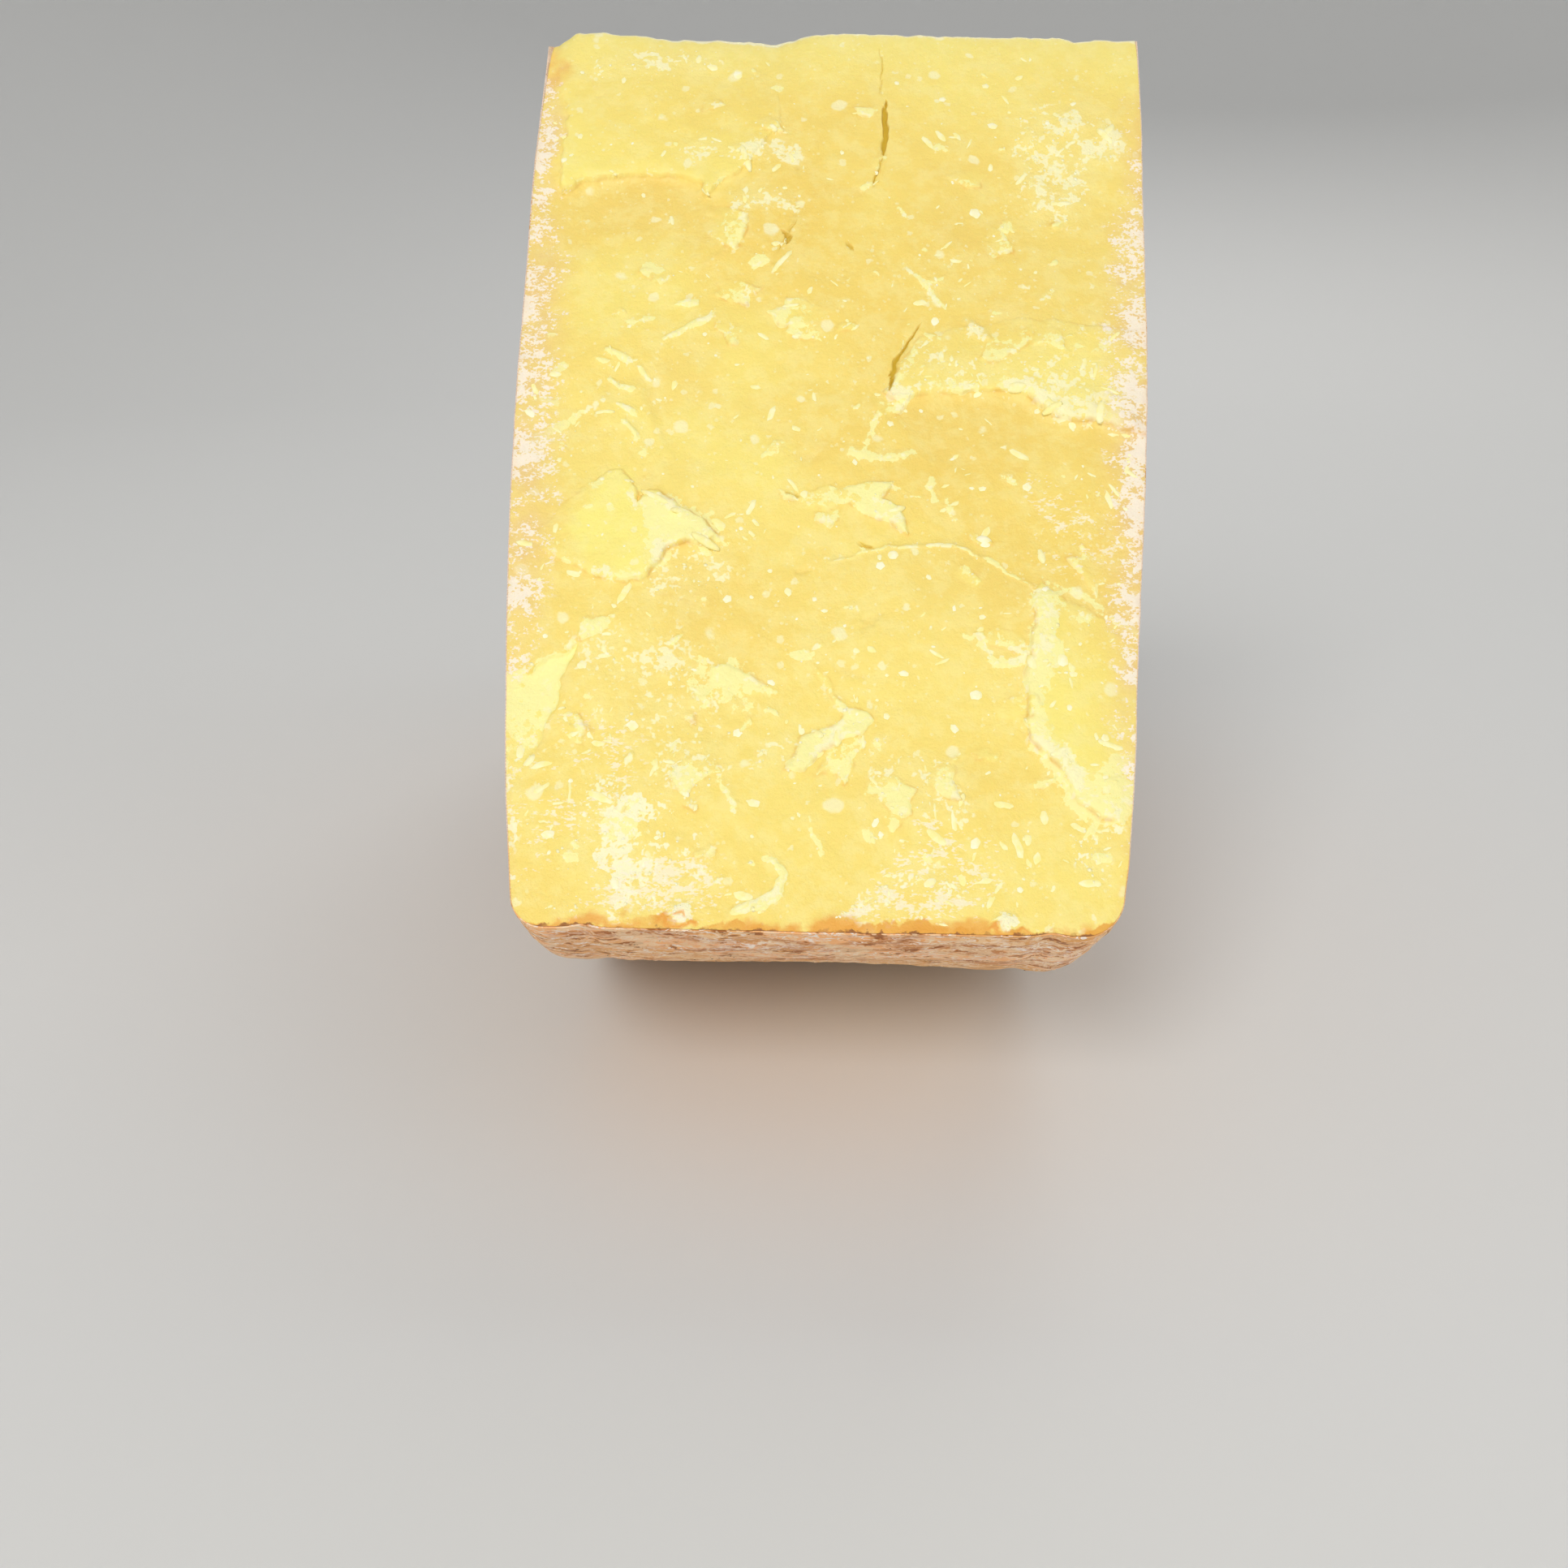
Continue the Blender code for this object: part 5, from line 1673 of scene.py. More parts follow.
def new_material(name: str, constants: dict) -> tuple:
    """A material with its Principled shader.

    Args:
        name: The material's name.
        constants: Socket name to the value that is set on the shader's own socket.

    Returns:
        The material, its Graph, the shader's inputs, and the Object coordinates.
    """
    material = bpy.data.materials.new(name)
    material.use_nodes = True
    graph = Graph(material.node_tree)
    shader = material.node_tree.nodes["Principled BSDF"].inputs
    for socket, value in constants.items():
        shader[socket].default_value = value
    return material, graph, shader, graph.add("ShaderNodeTexCoord").outputs["Object"]


@dataclass(frozen=True)
class PasteFinish:
    """The pale yellow inside, with its crumbs, powder, amber hollows and crust line, and painted shade and
    highlights at steps, in hollows and along the crest.
    """

    low: tuple = srgb(246, 214, 110)
    high: tuple = srgb(252, 228, 127)
    pale: tuple = srgb(255, 242, 168)
    crest: tuple = srgb(250, 238, 142)
    foot: tuple = srgb(252, 228, 124)
    amber: tuple = srgb(240, 207, 112)
    fresh: tuple = srgb(255, 239, 134)
    lemon: tuple = srgb(255, 247, 170)
    cream: tuple = srgb(255, 247, 198)
    powder: tuple = srgb(255, 249, 208)
    haze: tuple = srgb(255, 244, 216)
    bloom: tuple = srgb(255, 243, 226)
    blush: tuple = srgb(238, 205, 141)
    orange: tuple = srgb(234, 166, 64)
    brown: tuple = srgb(158, 102, 52)
    deep: tuple = srgb(204, 166, 30)
    rust: tuple = srgb(238, 166, 70)
    # Each kind of dot: its scale, its share, how much more in patches, size, warp and strength.
    dots: tuple = ((900.0, 0.05, 0.30, 0.34, 0.15 * MM, 0.35), (330.0, 0.10, 0.16, 0.27, 0.3 * MM, 0.55),
                   (125.0, 0.34, 0.14, 0.19, 0.45 * MM, 0.7))
    constants: tuple = (("Subsurface Weight", 0.2), ("Subsurface Radius", (1.0, 0.75, 0.4)),
                        ("Subsurface Scale", 0.9 * MM), ("Specular IOR Level", 0.38))
    bump_height: float = 0.4 * MM

    def build(self, effects: Effects) -> bpy.types.Material:
        """Makes the material.

        Args:
            effects: The shared groups.

        Returns:
            The material.
        """
        material, graph, shader, place = new_material("cheese_paste", dict(self.constants))
        colour, dry = self.colour(graph, effects, place)
        graph.set(shader["Base Color"], colour)
        rough = graph.minus(0.56, graph.times(graph.attribute("amber"), 0.13))
        graph.set(shader["Roughness"], graph.plus(rough, graph.times(dry, 0.3), clamp=True))
        loose = graph.plus(graph.attribute("powder"), graph.attribute("cream"), clamp=True)
        grain = graph.times(graph.noise(place, 1100.0, 3.0, 0.62), graph.plus(0.45, graph.times(loose, 0.35)))
        height = graph.plus(grain, graph.times(graph.noise(place, 260.0, 3.0, 0.6), 0.55))
        graph.bump(shader, height, self.bump_height)
        return material

    def colour(self, graph: Graph, effects: Effects, place: Socket) -> tuple:
        """The base colour from slow changes to small marks.

        Args:
            graph: The material's graph.
            effects: The shared groups.
            place: The Object coordinates.

        Returns:
            The colour, and the mask of all that is dry and crumbly.
        """
        slow = effects.mottle(graph, place, 14.0, 1.4)
        coats = Coats(graph, graph.mix(slow, self.low, self.high))
        from_axis = graph.attribute("from_axis")
        coats.lay(self.crest, graph.rise(from_axis, 0.03, 0.0, 0.0, 0.6))
        coats.lay(self.foot, graph.rise(from_axis, 0.12, 0.215, 0.0, 0.4))
        # Smooth amber paste, and painted shade in hollows and along some step edges.
        coats.lay(self.amber, graph.attribute("amber"), 0.6)
        coats.lay(self.fresh, graph.attribute("fresh"), 0.8)
        soft = graph.noise(place, 210.0, 4.0, 0.65)
        coats.lay(self.pale, graph.rise(soft, 0.42, 0.64, 0.0, 0.3))
        # Pale scraps, and the lips' painted highlight on their steps.
        lemon = graph.group(effects.solid_group, Place=place, Amount=graph.attribute("lemon"), Scale=460.0)
        coats.lay(self.lemon, lemon, 0.88)
        patchy = graph.rise(graph.noise(graph.stretched(place, shift=(4, 7, 2)), 34.0, 3.0), 0.40, 0.60)
        for scale, share, more, size, warp, strength in self.dots:
            chosen = graph.plus(graph.times(patchy, more), share)
            dots = graph.group(effects.specks_group, Place=place, Scale=scale, Share=chosen, Size=size,
                               Warp=warp)
            coats.lay(self.cream, dots, strength)
        coats.lay(self.pale, graph.attribute("cream"), 0.5)
        cream = effects.lacy(graph, place, graph.attribute("cream"), 270.0, 0.34)
        coats.lay(self.cream, cream, 0.85)
        coats.lay(self.pale, graph.attribute("powder"), 0.35)
        powder = effects.lacy(graph, place, graph.attribute("powder"), 300.0, 0.3)
        coats.lay(self.powder, powder, 0.9)
        slanted = graph.stretched(place, (0.55, 1.0, 1.0), (0, 0.7, 0))
        haze = effects.lacy(graph, slanted, graph.times(graph.attribute("haze"), 0.7), 620.0, 0.4)
        coats.lay(self.haze, haze, 0.75)
        bloom = self.border(graph, effects, place, coats)
        # Crack insides, and painted shade just outside the lips' edges.
        coats.lay(self.deep, graph.attribute("deep"), 0.95)
        dry = graph.math("MAXIMUM", graph.math("MAXIMUM", cream, powder), graph.math("MAXIMUM", bloom, haze))
        return coats.colour, dry

    def border(self, graph: Graph, effects: Effects, place: Socket, coats: Coats) -> Socket:
        """Lays the rind's rubbed-on bloom, the rust stains with painted shade, a painted highlight along the
        crest, and the crust line round the cut face.

        Args:
            graph: The material's graph.
            effects: The shared groups.
            place: The Object coordinates.
            coats: The colour so far.

        Returns:
            The bloom's mask.
        """
        side_gap, rim_gap = graph.attribute("side_gap"), graph.attribute("rim_gap")
        near = graph.times(graph.attribute("bloom"), graph.rise(side_gap, 14.0 * MM, 0.5 * MM, 0.04, 1.0))
        near = graph.times(near, graph.rise(graph.noise(place, 95.0, 3.0), 0.36, 0.62, 0.45, 1.15))
        coats.lay(self.blush, near, 0.8)
        streaky = graph.stretched(place, (0.85, 1.1, 1.1), (0, 0.3, 0))
        bloom = effects.lacy(graph, streaky, graph.times(near, 0.85), 560.0, 0.38)
        coats.lay(self.bloom, bloom, 0.85)
        # Rind stains, and painted warm shade just outside the lips' edges.
        coats.lay(self.rust, graph.attribute("rust"))
        # A painted highlight along the crest, in the powder colour.
        coats.lay(self.powder, graph.attribute("crest"), 0.95)
        finer = graph.times(graph.minus(graph.noise(place, 480.0, 3.0), 0.5), 4.0 * MM)
        wander = graph.plus(graph.times(graph.minus(graph.noise(place, 75.0, 3.0), 0.5), 11.0 * MM), finer)
        near_side = graph.plus(side_gap, graph.times(wander, 0.4))
        crust = graph.math("MAXIMUM", graph.rise(graph.plus(rim_gap, wander), 1.5 * MM, 0.8 * MM, 0.0, 0.85),
                           graph.rise(near_side, 1.6 * MM, 0.2 * MM, 0.0, 0.12))
        patches = graph.rise(graph.noise(place, 130.0, 2.0), 0.38, 0.56, 0.35, 1.0)
        coats.lay(self.orange, graph.times(crust, patches))
        skin = graph.rise(graph.plus(rim_gap, finer), 0.5 * MM, 0.1 * MM)
        coats.lay(self.brown, graph.times(skin, patches))
        return bloom


@dataclass(frozen=True)
class RindFinish:
    """The rind: brown, bloomed and cloth-marked on the flat faces, ochre and grained on the rim."""

    flank: tuple = srgb(224, 168, 110)
    flank_dark: tuple = srgb(200, 142, 84)
    flank_grey: tuple = srgb(222, 192, 164)
    flank_edge: tuple = srgb(242, 216, 190)
    bloom: tuple = srgb(248, 222, 202)
    rim: tuple = srgb(236, 176, 108)
    rim_light: tuple = srgb(250, 202, 138)
    rim_brown: tuple = srgb(200, 144, 92)
    rim_ochre: tuple = srgb(255, 190, 130)
    rim_torn: tuple = srgb(206, 136, 78)
    rim_dark: tuple = srgb(156, 90, 42)
    rim_pale: tuple = srgb(255, 240, 226)
    grain: tuple = srgb(254, 220, 178)
    edge_line: tuple = srgb(244, 190, 116)
    weave_pitch: float = 1.05 * MM
    weave_bend: float = 4.0 * MM
    curl: float = 7.0 * MM
    constants: tuple = (("Subsurface Weight", 0.06), ("Subsurface Radius", (1.0, 0.55, 0.3)),
                        ("Subsurface Scale", 1.2 * MM), ("Specular IOR Level", 0.35))
    bump_height: float = 0.4 * MM

    def build(self, effects: Effects) -> bpy.types.Material:
        """Makes the material.

        Args:
            effects: The shared groups.

        Returns:
            The material.
        """
        material, graph, shader, place = new_material("cheese_rind", dict(self.constants))
        rimness = graph.attribute("rimness")
        weave = self.weave(graph, place)
        flank, flank_bloom = self.flank_colour(graph, effects, place, weave)
        rim, rim_grain = self.rim_colour(graph, effects, place)
        graph.set(shader["Base Color"], graph.mix(rimness, flank, rim))
        dry = graph.math("MAXIMUM", flank_bloom, graph.times(rim_grain, 0.6))
        graph.set(shader["Roughness"], graph.rise(dry, 0.0, 1.0, 0.55, 0.85))
        height = graph.plus(graph.times(graph.noise(place, 700.0, 4.0, 0.65), 0.4),
                            graph.times(graph.noise(place, 170.0, 3.0, 0.6), 0.6))
        cloth = graph.times(weave, graph.minus(1.0, rimness))
        graph.bump(shader, graph.plus(height, graph.times(cloth, 0.45)), self.bump_height)
        return material

    def weave(self, graph: Graph, place: Socket) -> Socket:
        """The print of the cloth's threads on the flat faces.

        Args:
            graph: The material's graph.
            place: The Object coordinates.

        Returns:
            The print, from 0 to 1.
        """
        shift = graph.vector("MULTIPLY", graph.noise(place, 26.0, 2.0, 0.5, output=1), (self.weave_bend,) * 3)
        parts = graph.add("ShaderNodeSeparateXYZ", {"Vector": graph.vector("ADD", place, shift)}).outputs
        turn = 2 * math.pi / self.weave_pitch
        waves = [graph.math("SINE", graph.times(parts[axis], turn)) for axis in ("Y", "Z")]
        return graph.rise(graph.times(*waves), -0.6, 0.8)

    def flank_colour(self, graph: Graph, effects: Effects, place: Socket, weave: Socket) -> tuple:
        """The flat faces' colour.

        Args:
            graph: The material's graph.
            effects: The shared groups.
            place: The Object coordinates.
            weave: The print of the threads.

        Returns:
            The colour and the bloom's mask.
        """
        slow = effects.mottle(graph, place, 15.0, 1.3)
        coats = Coats(graph, graph.mix(slow, self.flank_dark, self.flank))
        grey = effects.mottle(graph, graph.stretched(place, shift=(3, 1, 2)), 9.0, 1.4)
        coats.lay(self.flank_grey, graph.rise(grey, 0.5, 0.9, 0.0, 0.6))
        streaky = graph.noise(graph.stretched(place, (1, 0.35, 1.6)), 38.0, 4.0, 0.6)
        uneven = graph.times(graph.minus(streaky, 0.5), 55.0 * MM)
        near_cut = graph.rise(graph.plus(graph.attribute("cut_gap"), uneven), 8.0 * MM, 0.5 * MM, 0.0, 0.25)
        coats.lay(self.flank_edge, near_cut, 3.2)
        amount = graph.plus(graph.rise(streaky, 0.36, 0.64, 0.38, 0.84), near_cut)
        amount = graph.plus(amount, graph.times(graph.minus(weave, 0.5), 0.55))
        bloom = effects.lacy(graph, place, amount, 760.0, 0.5)
        coats.lay(self.bloom, bloom, 0.85)
        broken = graph.rise(graph.noise(place, 60.0, 3.0), 0.35, 0.6, 0.45, 1.0)
        line = graph.times(graph.rise(graph.attribute("from_axis"), 0.198, 0.209), broken)
        coats.lay(self.edge_line, line, 0.85)
        return coats.colour, bloom

    def rim_colour(self, graph: Graph, effects: Effects, place: Socket) -> tuple:
        """The rim's colour.

        Args:
            graph: The material's graph.
            effects: The shared groups.
            place: The Object coordinates.

        Returns:
            The colour and the pale grains' mask.
        """
        slow = effects.mottle(graph, place, 22.0, 1.2)
        coats = Coats(graph, graph.mix(slow, self.rim, self.rim_light))
        brown = effects.mottle(graph, graph.stretched(place, shift=(5, 2, 7)), 18.0, 1.5)
        coats.lay(self.rim_brown, graph.rise(brown, 0.45, 0.95, 0.0, 0.6))
        near_cut = graph.rise(graph.attribute("cut_gap"), 0.055, 0.028)
        drawn = graph.noise(graph.stretched(place, (0.35, 1.0, 1.0)), 150.0, 4.0, 0.65)
        torn = Coats(graph, graph.mix(graph.rise(drawn, 0.42, 0.56), self.rim_torn, self.rim_ochre))
        warm = graph.noise(graph.stretched(place, (0.6, 1, 1), shift=(2, 8, 3)), 42.0, 2.0)
        torn.lay(self.rim, graph.rise(warm, 0.54, 0.62, 0.0, 0.8))
        coats.lay(torn.colour, near_cut, 0.95)
        bend = graph.noise(place, 110.0, 1.0, 0.5, output=1)
        bent = graph.vector("ADD", place, graph.vector("SCALE", bend, self.curl))
        lines = graph.minus(graph.noise(graph.stretched(bent, (0.45, 1.0, 1.0)), 360.0, 3.0, 0.64), 0.5)
        coats.lay(self.rim_dark, graph.times(graph.rise(lines, -0.07, -0.115), near_cut), 0.85)
        pale = graph.times(graph.rise(graph.math("ABSOLUTE", lines), 0.036, 0.018), near_cut)
        pale = graph.times(pale, graph.rise(graph.noise(place, 150.0, 2.0), 0.40, 0.56, 0.3, 1.0))
        coats.lay(self.rim_pale, pale)
        patches = graph.noise(graph.stretched(place, (1.4, 0.8, 0.8)), 45.0, 4.0, 0.6)
        grains = effects.lacy(graph, place, graph.rise(patches, 0.36, 0.64, 0.22, 0.68), 300.0, 0.2)
        coats.lay(self.grain, grains, 0.65)
        dust = graph.noise(graph.stretched(place, shift=(9, 4, 1)), 20.0, 3.0)
        dust = graph.times(graph.rise(dust, 0.46, 0.68, 0.0, 0.6), graph.rise(near_cut, 0.0, 1.0, 1.0, 0.4))
        coats.lay(self.bloom, effects.lacy(graph, place, dust, 520.0, 0.25), 0.6)
        return coats.colour, graph.math("MAXIMUM", grains, pale)


@dataclass(frozen=True)
class CrumbFinish:
    """A plain, dry finish for small lumps: a colour that varies a little, and fine grain."""

    name: str
    low: tuple
    high: tuple
    roughness: float = 0.8

    def build(self, effects: Effects) -> bpy.types.Material:
        """Makes the material.

        Args:
            effects: The shared groups.

        Returns:
            The material.
        """
        material, graph, shader, place = new_material(self.name, {})
        value = effects.mottle(graph, place, 420.0, 1.5)
        graph.set(shader["Base Color"], graph.mix(value, self.low, self.high))
        grain = graph.noise(place, 2600.0, 2.0)
        rough = graph.rise(grain, 0.3, 0.7, self.roughness - 0.1, self.roughness + 0.1)
        graph.set(shader["Roughness"], rough)
        graph.bump(shader, grain, 0.1 * MM, 0.6)
        return material


# What lies on the surfaces


class ScatterTree:
    """The Geometry Nodes tree that sets small lumps on a surface, where a mask lets them."""

    INPUTS = (("Surface", "NodeSocketGeometry", None), ("Mask", "NodeSocketString", ""),
              ("Per Area", "NodeSocketFloat", 1000.0), ("Smallest", "NodeSocketFloat", 0.2 * MM),
              ("Largest", "NodeSocketFloat", 1.0 * MM), ("Shape", "NodeSocketVector", (1.0, 1.0, 0.6)),
              ("Sink", "NodeSocketFloat", 0.3), ("Roughness", "NodeSocketFloat", 0.3),
              ("Tilt", "NodeSocketFloat", 0.3), ("Roundness", "NodeSocketInt", 1),
              ("Seed", "NodeSocketInt", 0), ("Finish", "NodeSocketMaterial", None))

    def __init__(self) -> None:
        """Builds the tree once."""
        self.tree = bpy.data.node_groups.new("scatter", "GeometryNodeTree")
        face = self.tree.interface
        self.identifiers = {}
        for name, kind, value in self.INPUTS:
            socket = face.new_socket(name, in_out="INPUT", socket_type=kind)
            if value is not None:
                socket.default_value = value
            self.identifiers[name] = socket.identifier
        face.new_socket("Lumps", in_out="OUTPUT", socket_type="NodeSocketGeometry")
        graph = Graph(self.tree)
        given = graph.add("NodeGroupInput").outputs
        mask = graph.add("GeometryNodeInputNamedAttribute", {"Name": given["Mask"]}, data_type="FLOAT")
        density = graph.times(mask.outputs["Attribute"], given["Per Area"])
        spread = graph.add("GeometryNodeDistributePointsOnFaces", {
            "Mesh": given["Surface"], "Density": density, "Seed": given["Seed"]}).outputs
        self.roughen(graph, given, self.place(graph, given, spread))

    def place(self, graph: Graph, given: bpy.types.NodeOutputs, spread: bpy.types.NodeOutputs) -> Socket:
        """Sets a ball of its own size, shape and turn on every point, sunk a little.

        Args:
            graph: The tree's graph.
            given: The tree's inputs.
            spread: The points with their normals and rotations.

        Returns:
            The balls as real geometry.
        """
        seeds = [graph.plus(given["Seed"], float(step)) for step in (11, 23, 37)]
        share = self.random(graph, "FLOAT", {"Min": 0.0, "Max": 1.0, "Seed": seeds[0]})
        size = graph.add("ShaderNodeMapRange", {
            "Value": graph.math("POWER", share, 2.6), "To Min": given["Smallest"],
            "To Max": given["Largest"]}).outputs[0]
        least, most = (0.6, 0.6, 0.95), (1.3, 1.3, 1.05)
        squeeze = self.random(graph, "FLOAT_VECTOR", {0: least, 1: most, "Seed": seeds[1]})
        scale = graph.vector("SCALE", graph.vector("MULTIPLY", given["Shape"], squeeze), size)
        back = graph.times(given["Tilt"], -1.0)
        least = graph.add("ShaderNodeCombineXYZ", {0: back, 1: back, 2: -math.pi}).outputs[0]
        most = graph.add("ShaderNodeCombineXYZ", {0: given["Tilt"], 1: given["Tilt"], 2: math.pi}).outputs[0]
        turn = self.random(graph, "FLOAT_VECTOR", {0: least, 1: most, "Seed": seeds[2]})
        spin = graph.add("FunctionNodeRotateRotation", {"Rotation": spread["Rotation"], "Rotate By": turn},
                         rotation_space="LOCAL").outputs[0]
        ball = graph.add("GeometryNodeMeshIcoSphere", {"Radius": 1.0, "Subdivisions": given["Roundness"]})
        down = graph.vector("SCALE", spread["Normal"], graph.times(graph.times(size, given["Sink"]), -1.0))
        sunk = graph.add("GeometryNodeSetPosition", {"Geometry": spread["Points"], "Offset": down})
        placed = graph.add("GeometryNodeInstanceOnPoints", {
            "Points": sunk.outputs[0], "Instance": ball.outputs["Mesh"], "Rotation": spin, "Scale": scale})
        return graph.add("GeometryNodeRealizeInstances", {"Geometry": placed.outputs[0]}).outputs[0]

    def roughen(self, graph: Graph, given: bpy.types.NodeOutputs, lumps: Socket) -> None:
        """Makes the lumps irregular, gives them their finish and ends the tree.

        Args:
            graph: The tree's graph.
            given: The tree's inputs.
            lumps: The geometry.
        """
        place = graph.add("GeometryNodeInputPosition").outputs[0]
        centred = graph.vector("SUBTRACT", graph.noise(place, 1400.0, 1.0, 0.5, output=1), (0.5, 0.5, 0.5))
        shift = graph.vector("SCALE", centred, graph.times(graph.times(given["Smallest"], 2.0),
                                                           given["Roughness"]))
        rough = graph.add("GeometryNodeSetPosition", {"Geometry": lumps, "Offset": shift}).outputs[0]
        done = graph.add("GeometryNodeSetMaterial", {"Geometry": rough, "Material": given["Finish"]})
        graph.add("NodeGroupOutput", {0: done.outputs[0]})

    def random(self, graph: Graph, kind: str, inputs: dict) -> Socket:
        """A random value or vector between two.

        Args:
            graph: The tree's graph.
            kind: The node's data type.
            inputs: Socket name or number to its value.

        Returns:
            The enabled output, since the node keeps one for each type.
        """
        node = graph.add("FunctionNodeRandomValue", inputs, data_type=kind)
        wanted = "VECTOR" if kind == "FLOAT_VECTOR" else "VALUE"
        return next(socket for socket in node.outputs if socket.enabled and socket.type == wanted)


@dataclass(frozen=True)
class Scatter:
    """One kind of small thing on a surface, as its own piece."""

    name: str
    mask: str
    per_area: float
    smallest: float
    largest: float
    shape: tuple
    sink: float
    seed: int
    roughness: float = 0.3
    tilt: float = 0.3
    roundness: int = 1

    def build(self, source: bpy.types.Object, tree: ScatterTree,
              material: bpy.types.Material) -> bpy.types.Object:
        """Makes the piece.

        Args:
            source: The piece whose surface they lie on.
            tree: The Geometry Nodes tree.
            material: Their finish.

        Returns:
            A plain mesh object with no modifier.
        """
        carrier = bpy.data.objects.new(self.name + "_carrier", source.data.copy())
        bpy.context.scene.collection.objects.link(carrier)
        lay = carrier.modifiers.new("scatter", "NODES")
        lay.node_group = tree.tree
        values = {"Mask": self.mask, "Per Area": self.per_area, "Smallest": self.smallest,
                  "Largest": self.largest, "Shape": self.shape, "Sink": self.sink,
                  "Roughness": self.roughness, "Tilt": self.tilt, "Roundness": self.roundness,
                  "Seed": self.seed, "Finish": material}
        for name, value in values.items():
            lay[tree.identifiers[name]] = value
        depsgraph = bpy.context.evaluated_depsgraph_get()
        mesh = bpy.data.meshes.new_from_object(carrier.evaluated_get(depsgraph))
        mesh.name = self.name
        made = bpy.data.objects.new(self.name, mesh)
        bpy.context.scene.collection.objects.link(made)
        bpy.data.objects.remove(carrier, do_unlink=True)
        mesh.shade_smooth()
        return made


# The studio


@dataclass(frozen=True)
class Studio:
    """The plain pale floor, the soft lights and the camera at the photograph's place."""

    camera_place: tuple = (-0.0075, -0.3959, 0.1855)
    pitch: float = math.radians(21.92)
    roll: float = math.radians(1.0)
    focal_share: float = 1851.8 / 1932
    sensor: float = 36.0
    floor_radius: float = 1.0
    wall_bend: float = 2.2
    wall_top: float = 3.0
    floor_gap: float = 0.2 * MM
    # Each light: its name, place, size, power and colour.
    lamps: tuple = (("key", (-0.6, -1.5, 1.25), 0.8, 16.3, (1.0, 0.99, 0.97)),
                    ("low", (0.15, -1.6, 0.3), 1.0, 4.8, (1.0, 0.99, 0.97)),
                    ("fill", (1.3, -0.6, 0.8), 1.4, 2.6, (0.98, 0.99, 1.0)),
                    ("back", (0.4, 1.3, 1.2), 1.2, 6.0, (1.0, 0.99, 0.97)))
    aim: tuple = (0, 0, 0.1)
    sky: float = 0.42

    def build(self) -> None:
        """Makes all of it."""
        self.camera()
        self.floor()
        self.lights()

    def camera(self) -> None:
        """Makes the camera, looking down at the front face with a slight roll."""
        ahead = Vector((0, math.cos(self.pitch), -math.sin(self.pitch)))
        up = Vector((0, math.sin(self.pitch), math.cos(self.pitch)))
        right = Vector((1, 0, 0))
        rolled_right = math.cos(self.roll) * right + math.sin(self.roll) * up
        rolled_up = math.cos(self.roll) * up - math.sin(self.roll) * right
        lens = bpy.data.cameras.new("camera")
        lens.sensor_width = self.sensor
        lens.lens = self.sensor * self.focal_share
        lens.clip_start = 0.01
        made = bpy.data.objects.new("camera", lens)
        turn = Matrix((rolled_right, rolled_up, -ahead)).transposed().to_4x4()
        made.matrix_world = Matrix.Translation(self.camera_place) @ turn
        bpy.context.scene.collection.objects.link(made)
        bpy.context.scene.camera = made

    def floor(self) -> None:
        """Makes a wide disc that curves up all round into a wall."""
        bend = self.wall_bend
        profile = [(0.02, 0), (0.5, 0), (self.floor_radius, 0)]
        profile += [(self.floor_radius + bend * math.sin(a), bend - bend * math.cos(a))
                    for a in np.linspace(0.05, math.pi / 2, 24)]
        profile += [(self.floor_radius + bend, self.wall_top)]
        turns = np.linspace(0, 2 * math.pi, 97)[:-1]
        points = [(r * math.cos(turn), r * math.sin(turn), z - self.floor_gap)
                  for r, z in profile for turn in turns]
        count = len(turns)
        faces = [[row * count + k, row * count + (k + 1) % count, (row + 1) * count + (k + 1) % count,
                  (row + 1) * count + k] for row in range(len(profile) - 1) for k in range(count)]
        faces.append(list(range(count)))
        made = mesh_object("floor", np.array(points), faces)
        made.data.shade_smooth()
        material = bpy.data.materials.new("pale_floor")
        material.use_nodes = True
        surface = material.node_tree.nodes["Principled BSDF"]
        surface.inputs["Base Color"].default_value = (0.76, 0.76, 0.75, 1)
        surface.inputs["Roughness"].default_value = 0.9
        made.data.materials.append(material)

    def lights(self) -> None:
        """Makes the large soft key, the weaker lights and a pale sky."""
        for name, place, size, power, tone in self.lamps:
            light = bpy.data.lights.new(name, "AREA")
            light.shape = "DISK"
            light.size = size
            light.energy = power
            light.color = tone
            made = bpy.data.objects.new(name, light)
            made.location = place
            made.rotation_euler = (Vector(self.aim) - made.location).to_track_quat("-Z", "Y").to_euler()
            bpy.context.scene.collection.objects.link(made)
        world = bpy.data.worlds.new("soft_sky")
        bpy.context.scene.world = world
        world.use_nodes = True
        sky = world.node_tree.nodes["Background"]
        sky.inputs["Color"].default_value = (1.0, 1.0, 1.0, 1)
        sky.inputs["Strength"].default_value = self.sky


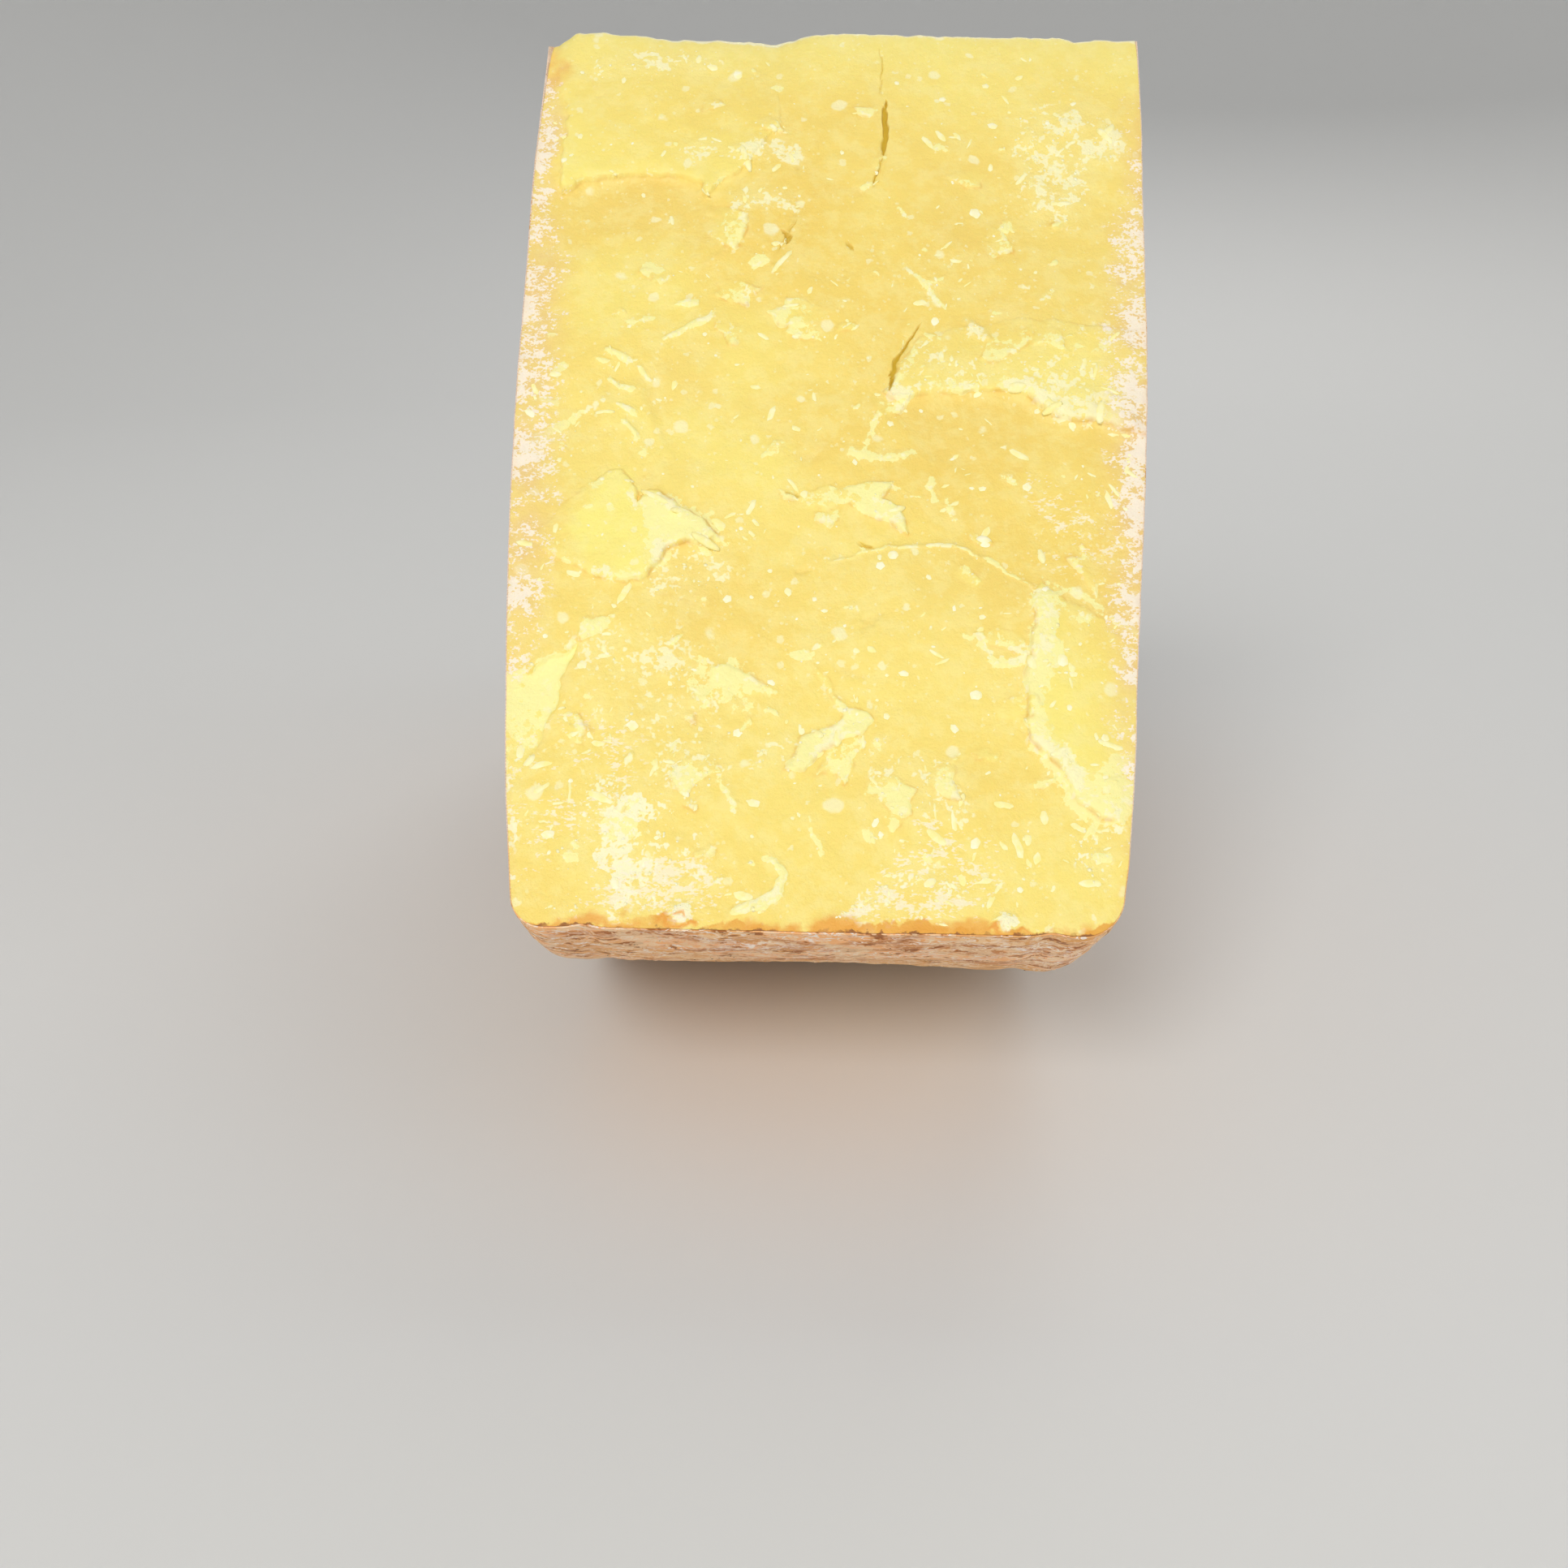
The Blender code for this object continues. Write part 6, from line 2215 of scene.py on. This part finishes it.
def main() -> None:
    """Builds the pieces in order and reports each."""
    logging.basicConfig(level=logging.INFO, format="%(message)s")
    bpy.context.scene.view_settings.view_transform = "Standard"
    Studio().build()
    wheel = Wheel()
    front = CutFace(FRONT_MARKS + Flakes(34, 221).marks() + Chips(110, 211).marks(), 20, wheel)
    back_marks = LargeBreaks().marks() + BACK_MARKS + Flakes(60, 222).marks() + Chips(120, 212).marks()
    back = CutFace(back_marks, 30, wheel)
    effects = Effects()
    paste, rind = Paste(wheel, front, back).build(), Rind(wheel, front, back).build()
    paste.data.materials.append(PasteFinish().build(effects))
    rind.data.materials.append(RindFinish().build(effects))
    tree = ScatterTree()
    crystal = CrumbFinish("crystal_white", srgb(255, 246, 182), srgb(255, 251, 216)).build(effects)
    shaving = CrumbFinish("shaved_paste", srgb(255, 243, 160), srgb(255, 249, 196)).build(effects)
    grain = CrumbFinish("rind_grain", srgb(240, 196, 148), srgb(254, 226, 192)).build(effects)
    speck = CrumbFinish("rind_speck", srgb(58, 50, 48), srgb(92, 80, 72)).build(effects)
    pieces = [(paste, "paste"), (rind, "rind")]
    for scatter, source, material, slot in (
            (Scatter("crystals", "shown", 14000, 0.45 * MM, 2.1 * MM, (1, 1, 0.45), 0.375, 301,
                     0.25, 0.06, 2), paste, crystal, "paste"),
            (Scatter("shavings", "shaved", 60000, 0.7 * MM, 2.3 * MM, (1.6, 0.55, 0.32), 0.26, 302,
                     0.3, 0.06, 2), paste, shaving, "paste"),
            (Scatter("crumbs", "crumbled", 1100000, 0.14 * MM, 0.5 * MM, (1, 0.9, 0.4), 0.12, 303,
                     0.6), paste, crystal, "paste"),
            (Scatter("rind_grains", "grained", 60000, 0.2 * MM, 0.75 * MM, (1, 1, 0.5), 0.25, 304),
             rind, grain, "rind"),
            (Scatter("rind_specks", "specked", 16000, 0.16 * MM, 0.5 * MM, (1, 0.9, 0.3), 0.1, 305),
             rind, speck, "rind")):
        pieces.append((scatter.build(source, tree, material), slot))
    for piece, slot in pieces:
        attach(piece, "root")
        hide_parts("cheese_chunk")
        LOG.info("%s: %d vertices, %d faces", piece.name, len(piece.data.vertices), len(piece.data.polygons))


if __name__ == "__main__":
    main()
